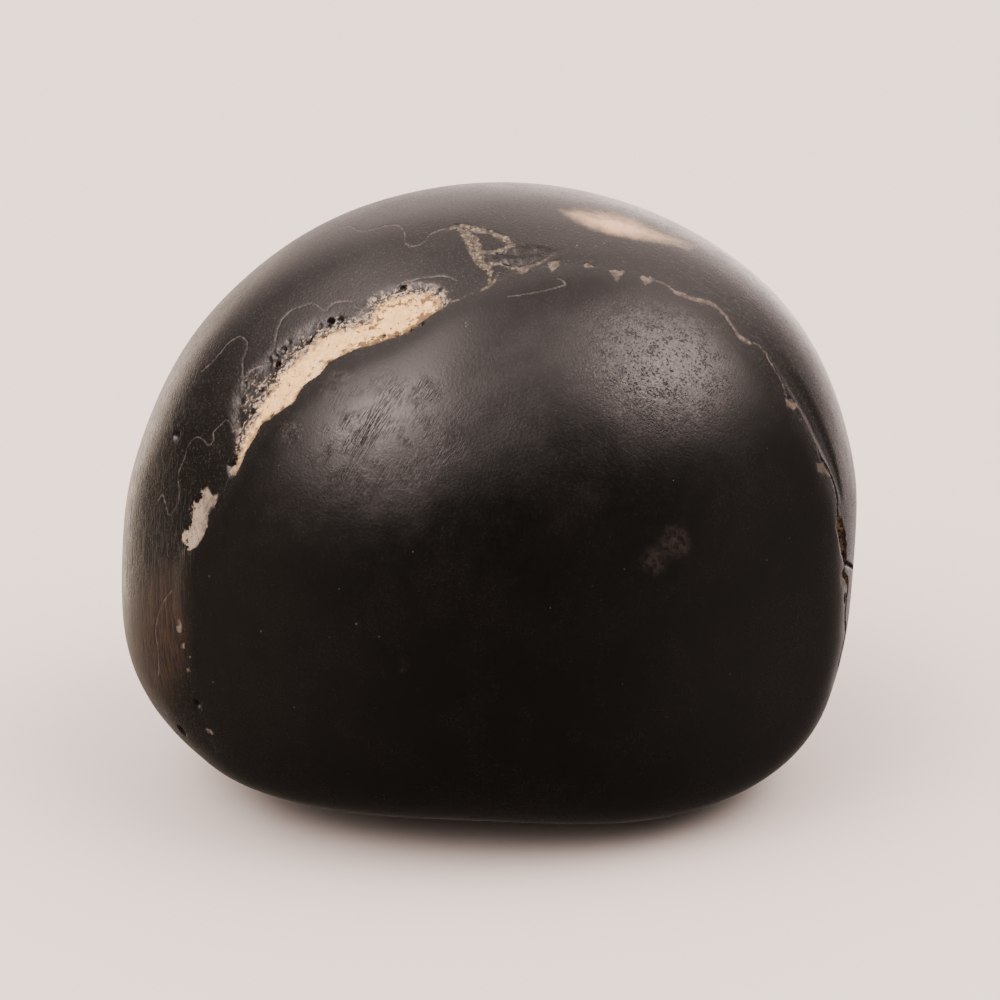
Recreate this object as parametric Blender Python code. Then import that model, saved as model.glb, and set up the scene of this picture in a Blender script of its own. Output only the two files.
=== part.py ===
"""Shaligram stone: a black, water-worn nodule that rests on a small flat spot.

The stone is one solid. Its body is a squarish egg with a few broad swells and worn
facets. A seam rings its front lobe as a shallow valley under the lobe's shoulder. Pale
calcite fills it at the upper left, and a crack opens in it at the right.

The origin is under the middle of the stone, +Z is up and the front lobe faces -Y.
"""

import math

import bmesh
import bpy
import numpy as np
from mathutils import Vector, noise

MM = 0.001

# Half lengths of the body, in mm, from its widest level
LEFT, RIGHT = 48.5, 48.9
FRONT, BACK = 44.0, 44.4
RISE, DROP = 45.3, 36.8
UNDERSIDE_SLANT = 0.07

# How square the body is: 2 gives an ellipse, and more gives fuller corners
PLAN_POWER, TOP_POWER, UNDERSIDE_POWER = 2.1, 2.0, 3.15
POWER_SOFTENING = 0.12
SIDE_BLEND, LEVEL_BLEND = 0.5, 0.3

# The body's middle is on its widest level, over the flat spot, whose rim is this soft
MIDDLE = np.array((0.31, -0.17, 35.6))
FOOT_RIM = 0.5

# Broad swells: azimuth and elevation in degrees, spread in degrees, height in mm
SWELLS = (
    (-160, -28, 30, 3.3),
    (-20, -28, 30, 0.7),
    (-150, 38, 30, -0.8),
    (-30, 38, 30, 2.7),
    (75, 35, 34, 0.9),
    (120, -18, 26, -1.0),
    (30, 5, 24, -0.7),
    (-118, 22, 20, 0.5),
    (-56, 30, 20, 0.4),
    (-90, -56, 24, -1.6),
)

# Worn facets: azimuth and elevation in degrees, and how deep each is worn, in mm
FACETS = (
    (-166, -12, 0.30),
    (62, 52, 0.45),
    (140, 12, 0.60),
    (15, 24, 0.35),
    (92, -14, 0.50),
)

# A facet fades between these cosines off its facing, and its rim is this soft, in mm
FACET_EDGE_LEAN, FACET_FULL_LEAN, FACET_EDGE_SOFTNESS = 0.75, 0.9, 0.15

# The marks are drawn on a sheet through the stone, seen from an eye in front of it
SHEET_LEAN = math.radians(18)
SHEET_MIDDLE = MIDDLE + np.array((1.1, 0.8, 2.4))
EYE_REACH = 377.0

# Outlines on the sheet: mm to the right of its middle, and mm up from it
VEIN_UPPER_EDGE = (
    (-35.8, 8.3), (-35.2, 10.3), (-34.3, 12.5), (-33.4, 14.9), (-32.0, 16.6),
    (-30.0, 18.7), (-28.2, 20.4), (-26.9, 21.9), (-25.4, 23.2), (-23.8, 24.3),
    (-21.7, 24.8), (-19.0, 25.7), (-16.0, 27.7), (-13.6, 29.2), (-10.9, 29.7),
    (-8.0, 28.5),
)
VEIN_LOWER_EDGE = (
    (-35.6, 6.1), (-34.5, 7.1), (-33.8, 8.3), (-33.3, 10.5), (-30.7, 12.2),
    (-28.1, 14.1), (-27.1, 16.2), (-25.4, 17.6), (-23.8, 19.5), (-21.7, 20.4),
    (-16.4, 21.9), (-13.6, 22.5), (-11.1, 23.8), (-9.5, 25.0), (-8.0, 26.7),
)
CALCITE_PATCH = (
    (-40.0, 2.3), (-41.8, 0.3), (-43.2, -3.9), (-42.5, -6.5), (-41.3, -6.8),
    (-39.8, -5.0), (-39.0, -1.9), (-38.3, 1.6),
)
PITTED_BAND_EDGE = (
    (-37.3, 9.6), (-38.0, 11.4), (-37.6, 13.2), (-34.9, 16.3), (-32.0, 19.7),
    (-27.8, 23.2), (-23.8, 25.8), (-19.5, 26.9), (-16.0, 29.3), (-11.1, 30.5),
)
SEAM = (
    (-38.7, -33.9), (-41.4, -27.1), (-43.4, -20.4), (-44.6, -13.0), (-43.4, -6.5),
    (-39.2, -0.3), (-35.4, 6.6), (-31.4, 12.0), (-26.6, 16.6), (-20.6, 20.4), (-14.0, 23.0),
    (-8.0, 26.4), (-1.4, 29.8), (5.0, 31.8), (12.2, 32.0), (20.4, 30.4), (27.1, 27.2),
    (32.9, 21.9), (39.3, 13.7), (43.3, 6.8), (45.9, 0.6), (47.0, -6.5), (47.3, -13.6),
    (46.8, -19.7), (45.9, -23.3),
)
# Where the seam runs under the stone: directions from the stone's middle
SEAM_UNDER = (
    (0.78, -0.10, -0.62), (0.40, 0.05, -0.90), (-0.40, 0.02, -0.90), (-0.74, -0.20, -0.66),
)
# Around the seam, by clock angle in degrees from the right: how deep it is, in mm
SEAM_DEPTH = (
    (-90, 0.0), (-50, 0.10), (-25, 0.35), (0, 0.45), (20, 0.55), (45, 0.40), (70, 0.45),
    (90, 0.75), (110, 1.10), (150, 1.25), (178, 1.00), (195, 0.60), (215, 0.45), (235, 0.25),
    (270, 0.0),
)
# Across the seam, by mm into the lobe: height for a seam 1 mm deep
SEAM_SECTION = (
    (-24, 0.0), (-17, -0.20), (-11, -0.80), (-7, -1.10), (-3, -1.10), (-0.7, -0.90),
    (0.7, -0.60), (3, -0.05), (7, 0.35), (12, 0.25), (20, 0.0),
)

# Grooves, as sheet place, half width in mm and depth in mm: the crack at the right, and
# the small hollow on top
CRACK = (
    (46.0, -1.6, 0.3, 0.3), (46.2, -4.1, 0.8, 2.2), (46.5, -6.1, 0.7, 2.0),
    (46.8, -8.6, 0.5, 0.9), (47.3, -11.0, 0.45, 0.5), (47.2, -13.6, 0.45, 0.5),
    (47.0, -18.2, 0.4, 0.4), (46.6, -21.5, 0.4, 0.4), (45.7, -24.2, 0.3, 0.2),
)
TOP_HOLLOW = (
    (-1.2, 34.0, 0.7, 0.3), (1.5, 33.6, 1.5, 0.9), (4.2, 33.6, 1.7, 0.8), (7.0, 34.0, 0.8, 0.1),
)
# Small round pits: sheet place, radius in mm, depth in mm
PITS = (
    (-44.4, 8.8, 0.8, 0.5), (-41.3, -28.0, 0.7, 0.7), (-43.6, -31.6, 0.8, 0.7),
    (47.0, -13.4, 0.6, 0.8),
)
# Pits of the unseen sides: directions from the stone's middle, radius, depth
FAR_PITS = (
    (0.35, 0.85, 0.35, 1.6, 0.7), (-0.62, 0.70, -0.15, 1.1, 0.6), (0.82, 0.55, 0.10, 0.9, 0.5),
)

# Depths of the fillings under the body's face, and the height of their grains, in mm
VEIN_SINK, VEIN_GRAIN = 0.30, 0.22
BAND_SINK, BAND_GRAIN = 0.35, 0.18
GRAIN_SIZE = 2.4
WAVE_SIZE, WAVE_HEIGHT = 19.0, 0.22

# Mesh: edge lengths in mm, on plain ground and at a mark, and their growth off a mark
START_LEVEL = 5
PLAIN_EDGE, FINE_EDGE, FINEST_EDGE, EDGE_GROWTH = 3.9, 1.0, 0.6, 0.55
FAINT_SEAM_EDGE = 1.6
SPLIT_RATIO, REFINE_PASSES = 1.3, 4

BODY_COLOUR = (0.012, 0.0115, 0.011, 1.0)
BODY_ROUGHNESS = 0.32


def ease(low, high, value):
    """Rise from 0 to 1 between two values, level at both ends."""
    share = np.clip((value - low) / (high - low), 0.0, 1.0)
    return share ** 3 * (share * (6 * share - 15) + 10)


def soft_power(value, power):
    """Raise a size to a power, with no kink where the value is 0."""
    return (value ** 2 + POWER_SOFTENING ** 2) ** (power / 2) - POWER_SOFTENING ** power


def unit(vectors):
    """Scale rows to length 1."""
    return vectors / np.linalg.norm(vectors, axis=1, keepdims=True)


def compass(azimuth, elevation):
    """Turn an azimuth and an elevation, in degrees, into a direction."""
    turn, climb = math.radians(azimuth), math.radians(elevation)
    flat = math.cos(climb)
    return np.array((flat * math.cos(turn), flat * math.sin(turn), math.sin(climb)))


def egg_radius(ways):
    """Distance from the middle to the plain squarish egg, along unit directions."""
    half_x = LEFT + (RIGHT - LEFT) * ease(-SIDE_BLEND, SIDE_BLEND, ways[:, 0])
    half_y = FRONT + (BACK - FRONT) * ease(-SIDE_BLEND, SIDE_BLEND, ways[:, 1])
    top = ease(-LEVEL_BLEND, LEVEL_BLEND, ways[:, 2])
    power = UNDERSIDE_POWER + (TOP_POWER - UNDERSIDE_POWER) * top
    reach = np.full(len(ways), FRONT)
    for _ in range(12):
        x, y, z = (ways * reach[:, None]).T
        half_z = (DROP + UNDERSIDE_SLANT * x) * (1 - top) + RISE * top
        plan = soft_power(x / half_x, PLAN_POWER) + soft_power(y / half_y, PLAN_POWER)
        level = np.maximum(plan, 1e-9) ** (power / PLAN_POWER) + soft_power(z / half_z, power)
        reach = reach * level ** (-1 / power)
    return reach


def swollen_radius(ways):
    """Distance from the middle to the egg with its broad swells."""
    reach = egg_radius(ways)
    for azimuth, elevation, spread, height in SWELLS:
        angle = np.arccos(np.clip(ways @ compass(azimuth, elevation), -1, 1))
        reach = reach + height * np.exp(-(np.degrees(angle) / spread) ** 2)
    return reach


def body_radius(ways):
    """Distance from the middle to the body with its swells and worn facets."""
    reach = swollen_radius(ways)
    for azimuth, elevation, depth in FACETS:
        facing = compass(azimuth, elevation)
        lean = np.maximum(ways @ facing, FACET_EDGE_LEAN)
        level = swollen_radius(facing[None])[0] - depth
        over = np.maximum(reach - level / lean, 0.0)
        near = ease(FACET_EDGE_LEAN, FACET_FULL_LEAN, lean)
        reach = reach - near * over ** 2 / (over + FACET_EDGE_SOFTNESS)
    return reach


def onto_body(points):
    """Move points along their line from the middle onto the body."""
    ways = unit(points - MIDDLE)
    return MIDDLE + ways * body_radius(ways)[:, None]


def sheet_axes():
    """Right, up and away from the eye, for the sheet that the marks are drawn on."""
    right = np.array((1.0, 0.0, 0.0))
    up = np.array((0.0, math.sin(SHEET_LEAN), math.cos(SHEET_LEAN)))
    away = np.array((0.0, math.cos(SHEET_LEAN), -math.sin(SHEET_LEAN)))
    return right, up, away


def lift(marks):
    """Find where marks on the sheet fall on the body, as the eye sees them."""
    right, up, away = sheet_axes()
    eye = SHEET_MIDDLE - away * EYE_REACH
    marks = np.asarray(marks, float)
    rays = unit(marks[:, :1] * right + marks[:, 1:2] * up + away * EYE_REACH)
    steps = np.linspace(EYE_REACH - 60, EYE_REACH + 25, 426)
    places = eye + rays[:, None, :] * steps[None, :, None]
    offsets = places.reshape(-1, 3) - MIDDLE
    outside = np.linalg.norm(offsets, axis=1) - body_radius(unit(offsets))
    outside = outside.reshape(len(marks), -1)
    hits = (outside < 0).any(axis=1)
    first = np.where(hits, (outside < 0).argmax(axis=1), outside.argmin(axis=1))
    return onto_body(places[np.arange(len(marks)), first])


def on_sheet(points):
    """Give the sheet place of points, and which of them the eye's side holds."""
    right, up, away = sheet_axes()
    offsets = points - SHEET_MIDDLE
    scale = EYE_REACH / (EYE_REACH + offsets @ away)
    places = np.stack((offsets @ right * scale, offsets @ up * scale), axis=1)
    return places, (points - MIDDLE) @ away < 0


def smooth_through(places, heights, value):
    """Read a smooth curve that passes through given heights at given places."""
    slopes = np.gradient(heights, places)
    slopes[[0, -1]] = 0.0
    index = np.clip(np.searchsorted(places, value) - 1, 0, len(places) - 2)
    span = places[index + 1] - places[index]
    share = np.clip((value - places[index]) / span, 0.0, 1.0)
    rest = 1 - share
    start = rest ** 2 * ((1 + 2 * share) * heights[index] + share * span * slopes[index])
    end = share ** 2 * ((1 + 2 * rest) * heights[index + 1] - rest * span * slopes[index + 1])
    return start + end


def along(path, gap=0.8):
    """Fill a path with points on a smooth curve, about a gap apart."""
    path = np.asarray(path, float)
    lengths = np.linalg.norm(np.diff(path[:, :3], axis=0), axis=1)
    marks = np.concatenate(((0.0,), np.cumsum(lengths)))
    places = np.linspace(0, marks[-1], math.ceil(marks[-1] / gap) + 1)
    return np.stack([smooth_through(marks, column, places) for column in path.T], axis=1)


def nearest(points, path):
    """Distance from each point to a path's points, and which of these is nearest."""
    distance = np.full(len(points), 1e9)
    index = np.zeros(len(points), int)
    for number, place in enumerate(path):
        gap = np.linalg.norm(points - place, axis=1)
        index[gap < distance] = number
        distance = np.minimum(distance, gap)
    return distance, index


def depth_inside(places, outline):
    """Signed distance from sheet places to a closed outline: more than 0 inside it."""
    outline = np.asarray(outline, float)
    distance = np.full(len(places), 1e9)
    inside = np.zeros(len(places), bool)
    for start, end in zip(outline, np.roll(outline, -1, axis=0)):
        side = end - start
        share = np.clip((places - start) @ side / (side @ side), 0, 1)
        gap = np.linalg.norm(places - start - share[:, None] * side, axis=1)
        distance = np.minimum(distance, gap)
        crosses = (start[1] > places[:, 1]) != (end[1] > places[:, 1])
        rise = np.where(end[1] == start[1], 1e-9, end[1] - start[1])
        inside ^= crosses & (places[:, 0] < start[0] + (places[:, 1] - start[1]) / rise * side[0])
    return np.where(inside, distance, -distance)


def waves(points, size, shift=0.0):
    """Smooth uneven waves from -1 to 1, of a given size in mm."""
    return np.array([noise.noise(Vector(point / size + shift)) for point in points])


def clock_and_tilt(points):
    """Clock angle round the eye's line from the right, and angle away from that line."""
    right, up, away = sheet_axes()
    ways = unit(points - MIDDLE)
    clock = np.degrees(np.arctan2(ways @ up, ways @ right))
    return clock, np.degrees(np.arccos(np.clip(-ways @ away, -1, 1)))


def seam_path():
    """The closed seam round the front lobe, as points on the body."""
    drawn = along(SEAM)
    under = MIDDLE + unit(np.array(SEAM_UNDER)) * FRONT
    ends = lift((SEAM[-1], SEAM[0]))
    hidden = onto_body(along(np.concatenate((ends[:1], under, ends[1:]))))
    return np.concatenate((lift(drawn), hidden[1:-1]))


def seam_relief(points):
    """Height of the lobe's rounded shoulder and of the valley outside the seam."""
    path = seam_path()
    distance, _ = nearest(points, path)
    clock, tilt = clock_and_tilt(points)
    path_clock, path_tilt = clock_and_tilt(path)
    order = np.argsort(path_clock)
    limit = np.interp(clock, path_clock[order], path_tilt[order], period=360)
    into_lobe = np.where(tilt < limit, distance, -distance)
    clock = np.where(clock < -90, clock + 360, clock)
    depth = smooth_through(*np.array(SEAM_DEPTH, float).T, clock)
    height = depth * smooth_through(*np.array(SEAM_SECTION, float).T, into_lobe)
    plainness = 1 - np.minimum(depth, 1)
    return height, FINE_EDGE + EDGE_GROWTH * distance + FAINT_SEAM_EDGE * plainness


def filling_relief(points):
    """Sunken, grainy faces of the calcite and of the pitted band beside it."""
    places, facing = on_sheet(points)
    grain = waves(points, GRAIN_SIZE) + 0.6 * waves(points, GRAIN_SIZE / 2, 7.3)
    vein = VEIN_UPPER_EDGE + VEIN_LOWER_EDGE[::-1]
    band = PITTED_BAND_EDGE + VEIN_UPPER_EDGE[::-1]
    relief = np.zeros(len(points))
    distance = np.full(len(points), 1e9)
    for outline, sink, height in (
        (vein, VEIN_SINK, VEIN_GRAIN),
        (CALCITE_PATCH, VEIN_SINK, VEIN_GRAIN),
        (band, BAND_SINK, BAND_GRAIN),
    ):
        depth = np.where(facing, depth_inside(places, outline), -1e9)
        relief += ease(-0.2, 0.5, depth) * (height * grain - sink)
        distance = np.minimum(distance, np.maximum(-depth, 0))
    return relief, FINE_EDGE + EDGE_GROWTH * distance


def groove_relief(points, groove, edge):
    """A groove with the widths and depths that its route gives."""
    route = along(groove, 0.4)
    distance, index = nearest(points, lift(route[:, :2]))
    half, depth = route[index, 2], route[index, 3]
    return -depth * (1 - ease(0.4, 1.6, distance / half)), edge + EDGE_GROWTH * distance


def pit_relief(points):
    """Small round pits of the front and of the unseen sides."""
    near = np.array(PITS)
    far = np.array(FAR_PITS)
    centres = np.concatenate((lift(near[:, :2]), onto_body(MIDDLE + far[:, :3] * FRONT)))
    sizes = np.concatenate((near[:, 2:], far[:, 3:]))
    relief = np.zeros(len(points))
    distance = np.full(len(points), 1e9)
    for centre, (radius, depth) in zip(centres, sizes):
        gap = np.linalg.norm(points - centre, axis=1)
        relief -= depth * (1 - ease(0.3, 1.3, gap / radius))
        distance = np.minimum(distance, np.maximum(gap - radius, 0))
    return relief, FINEST_EDGE + EDGE_GROWTH * distance


def relief(points):
    """Height of every mark over the body, and how long an edge may be there."""
    parts = [
        seam_relief(points),
        filling_relief(points),
        groove_relief(points, CRACK, FINEST_EDGE),
        groove_relief(points, TOP_HOLLOW, FINE_EDGE),
        pit_relief(points),
    ]
    height = sum(part for part, _ in parts) + WAVE_HEIGHT * waves(points, WAVE_SIZE, 3.1)
    return height, np.minimum(PLAIN_EDGE, np.min([edge for _, edge in parts], axis=0))


def set_on_ground(points):
    """Flatten what lies under the foot's level, with a soft rim, and set it at 0."""
    height = points[:, 2]
    rim = (height + FOOT_RIM) ** 2 / (4 * FOOT_RIM)
    points[:, 2] = np.where(height > FOOT_RIM, height, np.where(height < -FOOT_RIM, 0.0, rim))
    return points


def body_points(mesh):
    """Place a mesh's points on the plain body, whatever their distance now."""
    ways = unit(np.array([vert.co[:] for vert in mesh.verts]))
    return MIDDLE + ways * body_radius(ways)[:, None], ways


def refine(mesh):
    """Split edges that are long for their distance from the nearest mark."""
    points, _ = body_points(mesh)
    _, wanted = relief(points)
    mesh.verts.index_update()
    ends = np.array([[vert.index for vert in edge.verts] for edge in mesh.edges])
    lengths = np.linalg.norm(points[ends[:, 0]] - points[ends[:, 1]], axis=1)
    too_long = lengths > SPLIT_RATIO * wanted[ends].min(axis=1)
    long_edges = [edge for edge, split in zip(mesh.edges, too_long) if split]
    bmesh.ops.subdivide_edges(mesh, edges=long_edges, cuts=1)
    bmesh.ops.triangulate(mesh, faces=mesh.faces[:])
    bmesh.ops.beautify_fill(mesh, faces=mesh.faces[:], edges=mesh.edges[:])


def stone_material():
    """Black worn stone with a soft shine."""
    material = bpy.data.materials.new("black_stone")
    material.use_nodes = True
    shader = material.node_tree.nodes["Principled BSDF"]
    shader.inputs["Base Color"].default_value = BODY_COLOUR
    shader.inputs["Roughness"].default_value = BODY_ROUGHNESS
    shader.inputs["Metallic"].default_value = 0.0
    return material


def make_stone(collection):
    """Shape the whole stone from a sphere and put it in its collection."""
    mesh = bmesh.new()
    bmesh.ops.create_icosphere(mesh, subdivisions=START_LEVEL, radius=1.0)
    for _ in range(REFINE_PASSES):
        refine(mesh)
    points, ways = body_points(mesh)
    height, _ = relief(points)
    points = set_on_ground(points + ways * height[:, None])
    for vert, point in zip(mesh.verts, points * MM):
        vert.co = point
    data = bpy.data.meshes.new("stone")
    mesh.to_mesh(data)
    mesh.free()
    data.shade_smooth()
    data.set_sharp_from_angle(angle=math.radians(40))
    data.materials.append(stone_material())
    stone = bpy.data.objects.new("stone", data)
    collection.objects.link(stone)


def main():
    """Clear the scene and make the stone."""
    for old in list(bpy.data.objects):
        bpy.data.objects.remove(old, do_unlink=True)
    collection = bpy.data.collections.new("shaligram_stone")
    bpy.context.scene.collection.children.link(collection)
    make_stone(collection)


main()
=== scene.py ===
"""Looks of the shaligram stone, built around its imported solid.

The stone is one black, water-worn nodule. Its fine surface is one mesh: the plain body,
pressed with every mark that shows on it, and dressed in one skin whose finishes lie over
each other where the marks' fields say. Places on the stone are in millimetres, and the
mesh, the floor and the camera are in metres.
"""

from __future__ import annotations

import logging
import math
from dataclasses import dataclass, field
from enum import Enum
from typing import Any, Callable, Mapping, Sequence, Union

import bmesh
import bpy
import numpy as np
from mathutils import Matrix, Vector, kdtree, noise

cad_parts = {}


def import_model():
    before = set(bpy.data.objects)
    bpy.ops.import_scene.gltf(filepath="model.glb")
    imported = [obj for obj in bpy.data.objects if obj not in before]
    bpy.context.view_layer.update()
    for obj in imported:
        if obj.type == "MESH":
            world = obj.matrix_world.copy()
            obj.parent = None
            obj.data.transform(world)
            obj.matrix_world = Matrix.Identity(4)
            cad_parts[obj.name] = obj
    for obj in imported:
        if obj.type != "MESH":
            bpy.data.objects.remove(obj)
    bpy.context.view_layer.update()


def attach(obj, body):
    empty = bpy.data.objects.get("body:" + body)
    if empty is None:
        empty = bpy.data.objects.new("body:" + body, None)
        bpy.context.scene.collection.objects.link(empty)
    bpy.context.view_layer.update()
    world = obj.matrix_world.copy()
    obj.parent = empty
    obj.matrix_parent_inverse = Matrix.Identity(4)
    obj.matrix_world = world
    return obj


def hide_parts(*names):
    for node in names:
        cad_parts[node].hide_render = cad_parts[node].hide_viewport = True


LOG = logging.getLogger("shaligram")

NODE, SLOT, BODY = "stone", "black_stone", "root"
MM = 0.001

Array = np.ndarray
Places = Sequence[Sequence[float]]
Fields = dict[str, Array]
Tone = tuple[float, float, float]

# What the fields are kept within, and what lies beyond every mark, in mm
FIELD_REACH, FAR = 6.0, 1e3

# How long the mesh's edges may be where a mark asks for nothing, in mm
ANY_LENGTH = 9.0

# How fast the edges may grow away from a broad mark, and from a fine one
BROAD_GROWTH, FINE_GROWTH = 0.35, 0.4

# The stone's own right, for the looks that change along it
RIGHT = (1.0, 0.0, 0.0)


def ease(low: float, high: float, value: Array) -> Array:
    """Rise from 0 to 1 between two values, level at both ends.

    Args:
        low: where the rise starts.
        high: where it ends.
        value: the values to read it at.

    Returns:
        The share risen, from 0 to 1.
    """
    share = np.clip((value - low) / (high - low), 0.0, 1.0)
    return share ** 3 * (share * (6 * share - 15) + 10)


def unit(vectors: Array) -> Array:
    """Scale rows to length 1."""
    return vectors / np.linalg.norm(vectors, axis=-1, keepdims=True)


def compass(azimuth: float, elevation: float) -> Array:
    """Turn an azimuth and an elevation, in degrees, into a direction."""
    turn, climb = math.radians(azimuth), math.radians(elevation)
    flat = math.cos(climb)
    return np.array((flat * math.cos(turn), flat * math.sin(turn), math.sin(climb)))


def smooth_through(places: Array, heights: Array, value: Array) -> Array:
    """Read a smooth curve that passes through given heights at given places.

    Args:
        places: rising places.
        heights: the curve's height at each place.
        value: where to read the curve.

    Returns:
        The curve's heights there, level beyond its ends.
    """
    slopes = np.gradient(heights, places)
    slopes[[0, -1]] = 0.0
    index = np.clip(np.searchsorted(places, value) - 1, 0, len(places) - 2)
    span = places[index + 1] - places[index]
    share = np.clip((value - places[index]) / span, 0.0, 1.0)
    rest = 1 - share
    start = rest ** 2 * ((1 + 2 * share) * heights[index] + share * span * slopes[index])
    end = share ** 2 * ((1 + 2 * rest) * heights[index + 1] - rest * span * slopes[index + 1])
    return start + end


def along(path: Places, gap: float) -> Array:
    """Fill a path with points on a smooth curve.

    Args:
        path: the points that the curve passes through, with any further columns.
        gap: about how far apart the new points are.

    Returns:
        The filled path, with the same columns.
    """
    route = np.asarray(path, float)
    lengths = np.linalg.norm(np.diff(route[:, :3], axis=0), axis=1)
    marks = np.concatenate(((0.0,), np.cumsum(lengths)))
    places = np.linspace(0, marks[-1], math.ceil(marks[-1] / gap) + 1)
    return np.stack([smooth_through(marks, column, places) for column in route.T], axis=1)


def waves(points: Array, size: float, shift: float = 0.0) -> Array:
    """Smooth uneven waves from -1 to 1, of a given size in mm."""
    return np.array([noise.noise(Vector(point / size + shift)) for point in points])


def grains(points: Array, size: float, shift: float = 0.0) -> Array:
    """Rounded grains of a given size in mm: 1 at a grain's middle, about 0 at its rim."""
    near = [noise.voronoi(Vector(point / size + shift))[0][0] for point in points]
    return 1 - 1.4 * np.array(near)


def lumps(points: Array, size: float) -> Array:
    """Broad uneven lumps of a size in mm, with smaller ones on them."""
    return waves(points, size) + 0.6 * waves(points, size / 2, 7.3)


def edges_round(edge: float, gap: Array, growth: float) -> Array:
    """How long edges may be: a mark's own length in it, and longer with the gap to it."""
    return edge + growth * np.maximum(gap, 0)


def where_near(mask: Array, points: Array, shape: Callable[[Array], Array]) -> Array:
    """Work out a shape only at the points that a mask picks, and give 0 elsewhere."""
    made = np.zeros(len(points))
    picked = mask > 0
    if picked.any():
        made[picked] = shape(points[picked])
    return made


@dataclass(frozen=True)
class Body:
    """The stone's plain form: a squarish egg with broad swells and worn facets, in mm.

    A swell is an azimuth, an elevation, a spread in degrees and a height. A facet is an
    azimuth, an elevation and how deep it is worn.
    """

    left: float = 48.5
    right: float = 48.9
    front: float = 44.0
    back: float = 44.4
    rise: float = 45.3
    drop: float = 36.8
    underside_slant: float = 0.07
    plan_power: float = 2.1
    top_power: float = 2.0
    underside_power: float = 3.15
    power_softening: float = 0.12
    side_blend: float = 0.5
    level_blend: float = 0.3
    middle: tuple[float, float, float] = (0.31, -0.17, 35.6)
    foot_rim: float = 0.5
    swells: Places = (
        (-160, -28, 30, 3.3), (-20, -28, 30, 0.7), (-150, 38, 30, -0.8), (-30, 38, 30, 2.7),
        (75, 35, 34, 0.9), (120, -18, 26, -1.0), (30, 5, 24, -0.7), (-118, 22, 20, 0.5),
        (-56, 30, 20, 0.4), (-90, -56, 24, -1.6),
    )
    facets: Places = (
        (62, 52, 0.45), (140, 12, 0.50), (15, 24, 0.35), (92, -14, 0.50),
    )
    facet_edge_lean: float = 0.75
    facet_full_lean: float = 0.9
    facet_edge_softness: float = 0.6
    settling_rounds: int = 12

    def _soft_power(self, value: Array, power: Union[float, Array]) -> Array:
        """Raise a size to a power, with no kink where the value is 0."""
        soft = self.power_softening
        return (value ** 2 + soft ** 2) ** (power / 2) - soft ** power

    def egg(self, ways: Array) -> Array:
        """Distance from the middle to the plain squarish egg.

        Args:
            ways: unit directions, one a row.

        Returns:
            The distance along each of them, in mm.
        """
        rightness, backness = (ease(-self.side_blend, self.side_blend, ways[:, axis]) for axis in (0, 1))
        half_x = self.left + (self.right - self.left) * rightness
        half_y = self.front + (self.back - self.front) * backness
        top = ease(-self.level_blend, self.level_blend, ways[:, 2])
        power = self.underside_power + (self.top_power - self.underside_power) * top
        reach = np.full(len(ways), self.front)
        for _ in range(self.settling_rounds):
            x, y, z = (ways * reach[:, None]).T
            half_z = (self.drop + self.underside_slant * x) * (1 - top) + self.rise * top
            plan = self._soft_power(x / half_x, self.plan_power)
            plan = plan + self._soft_power(y / half_y, self.plan_power)
            level = np.maximum(plan, 1e-9) ** (power / self.plan_power)
            level = level + self._soft_power(z / half_z, power)
            reach = reach * level ** (-1 / power)
        return reach

    def swollen(self, ways: Array) -> Array:
        """Distance from the middle to the egg with its broad swells."""
        reach = self.egg(ways)
        for azimuth, elevation, spread, height in self.swells:
            angle = np.arccos(np.clip(ways @ compass(azimuth, elevation), -1, 1))
            reach = reach + height * np.exp(-(np.degrees(angle) / spread) ** 2)
        return reach

    def reach(self, ways: Array) -> Array:
        """Distance from the middle to the body with its swells and worn facets."""
        reach = self.swollen(ways)
        for azimuth, elevation, depth in self.facets:
            facing = compass(azimuth, elevation)
            lean = np.maximum(ways @ facing, self.facet_edge_lean)
            level = self.swollen(facing[None])[0] - depth
            over = np.maximum(reach - level / lean, 0.0)
            near = ease(self.facet_edge_lean, self.facet_full_lean, lean)
            reach = reach - near * over ** 2 / (over + self.facet_edge_softness)
        return reach

    def onto(self, points: Array) -> Array:
        """Move points along their line from the middle onto the body."""
        ways = unit(points - self.middle)
        return self.middle + ways * self.reach(ways)[:, None]

    def set_on_ground(self, points: Array) -> Array:
        """Flatten what lies under the foot's level, with a soft rim, and set it at 0."""
        height = points[:, 2]
        rim = (height + self.foot_rim) ** 2 / (4 * self.foot_rim)
        inside = np.where(height < -self.foot_rim, 0.0, rim)
        points[:, 2] = np.where(height > self.foot_rim, height, inside)
        return points


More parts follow.
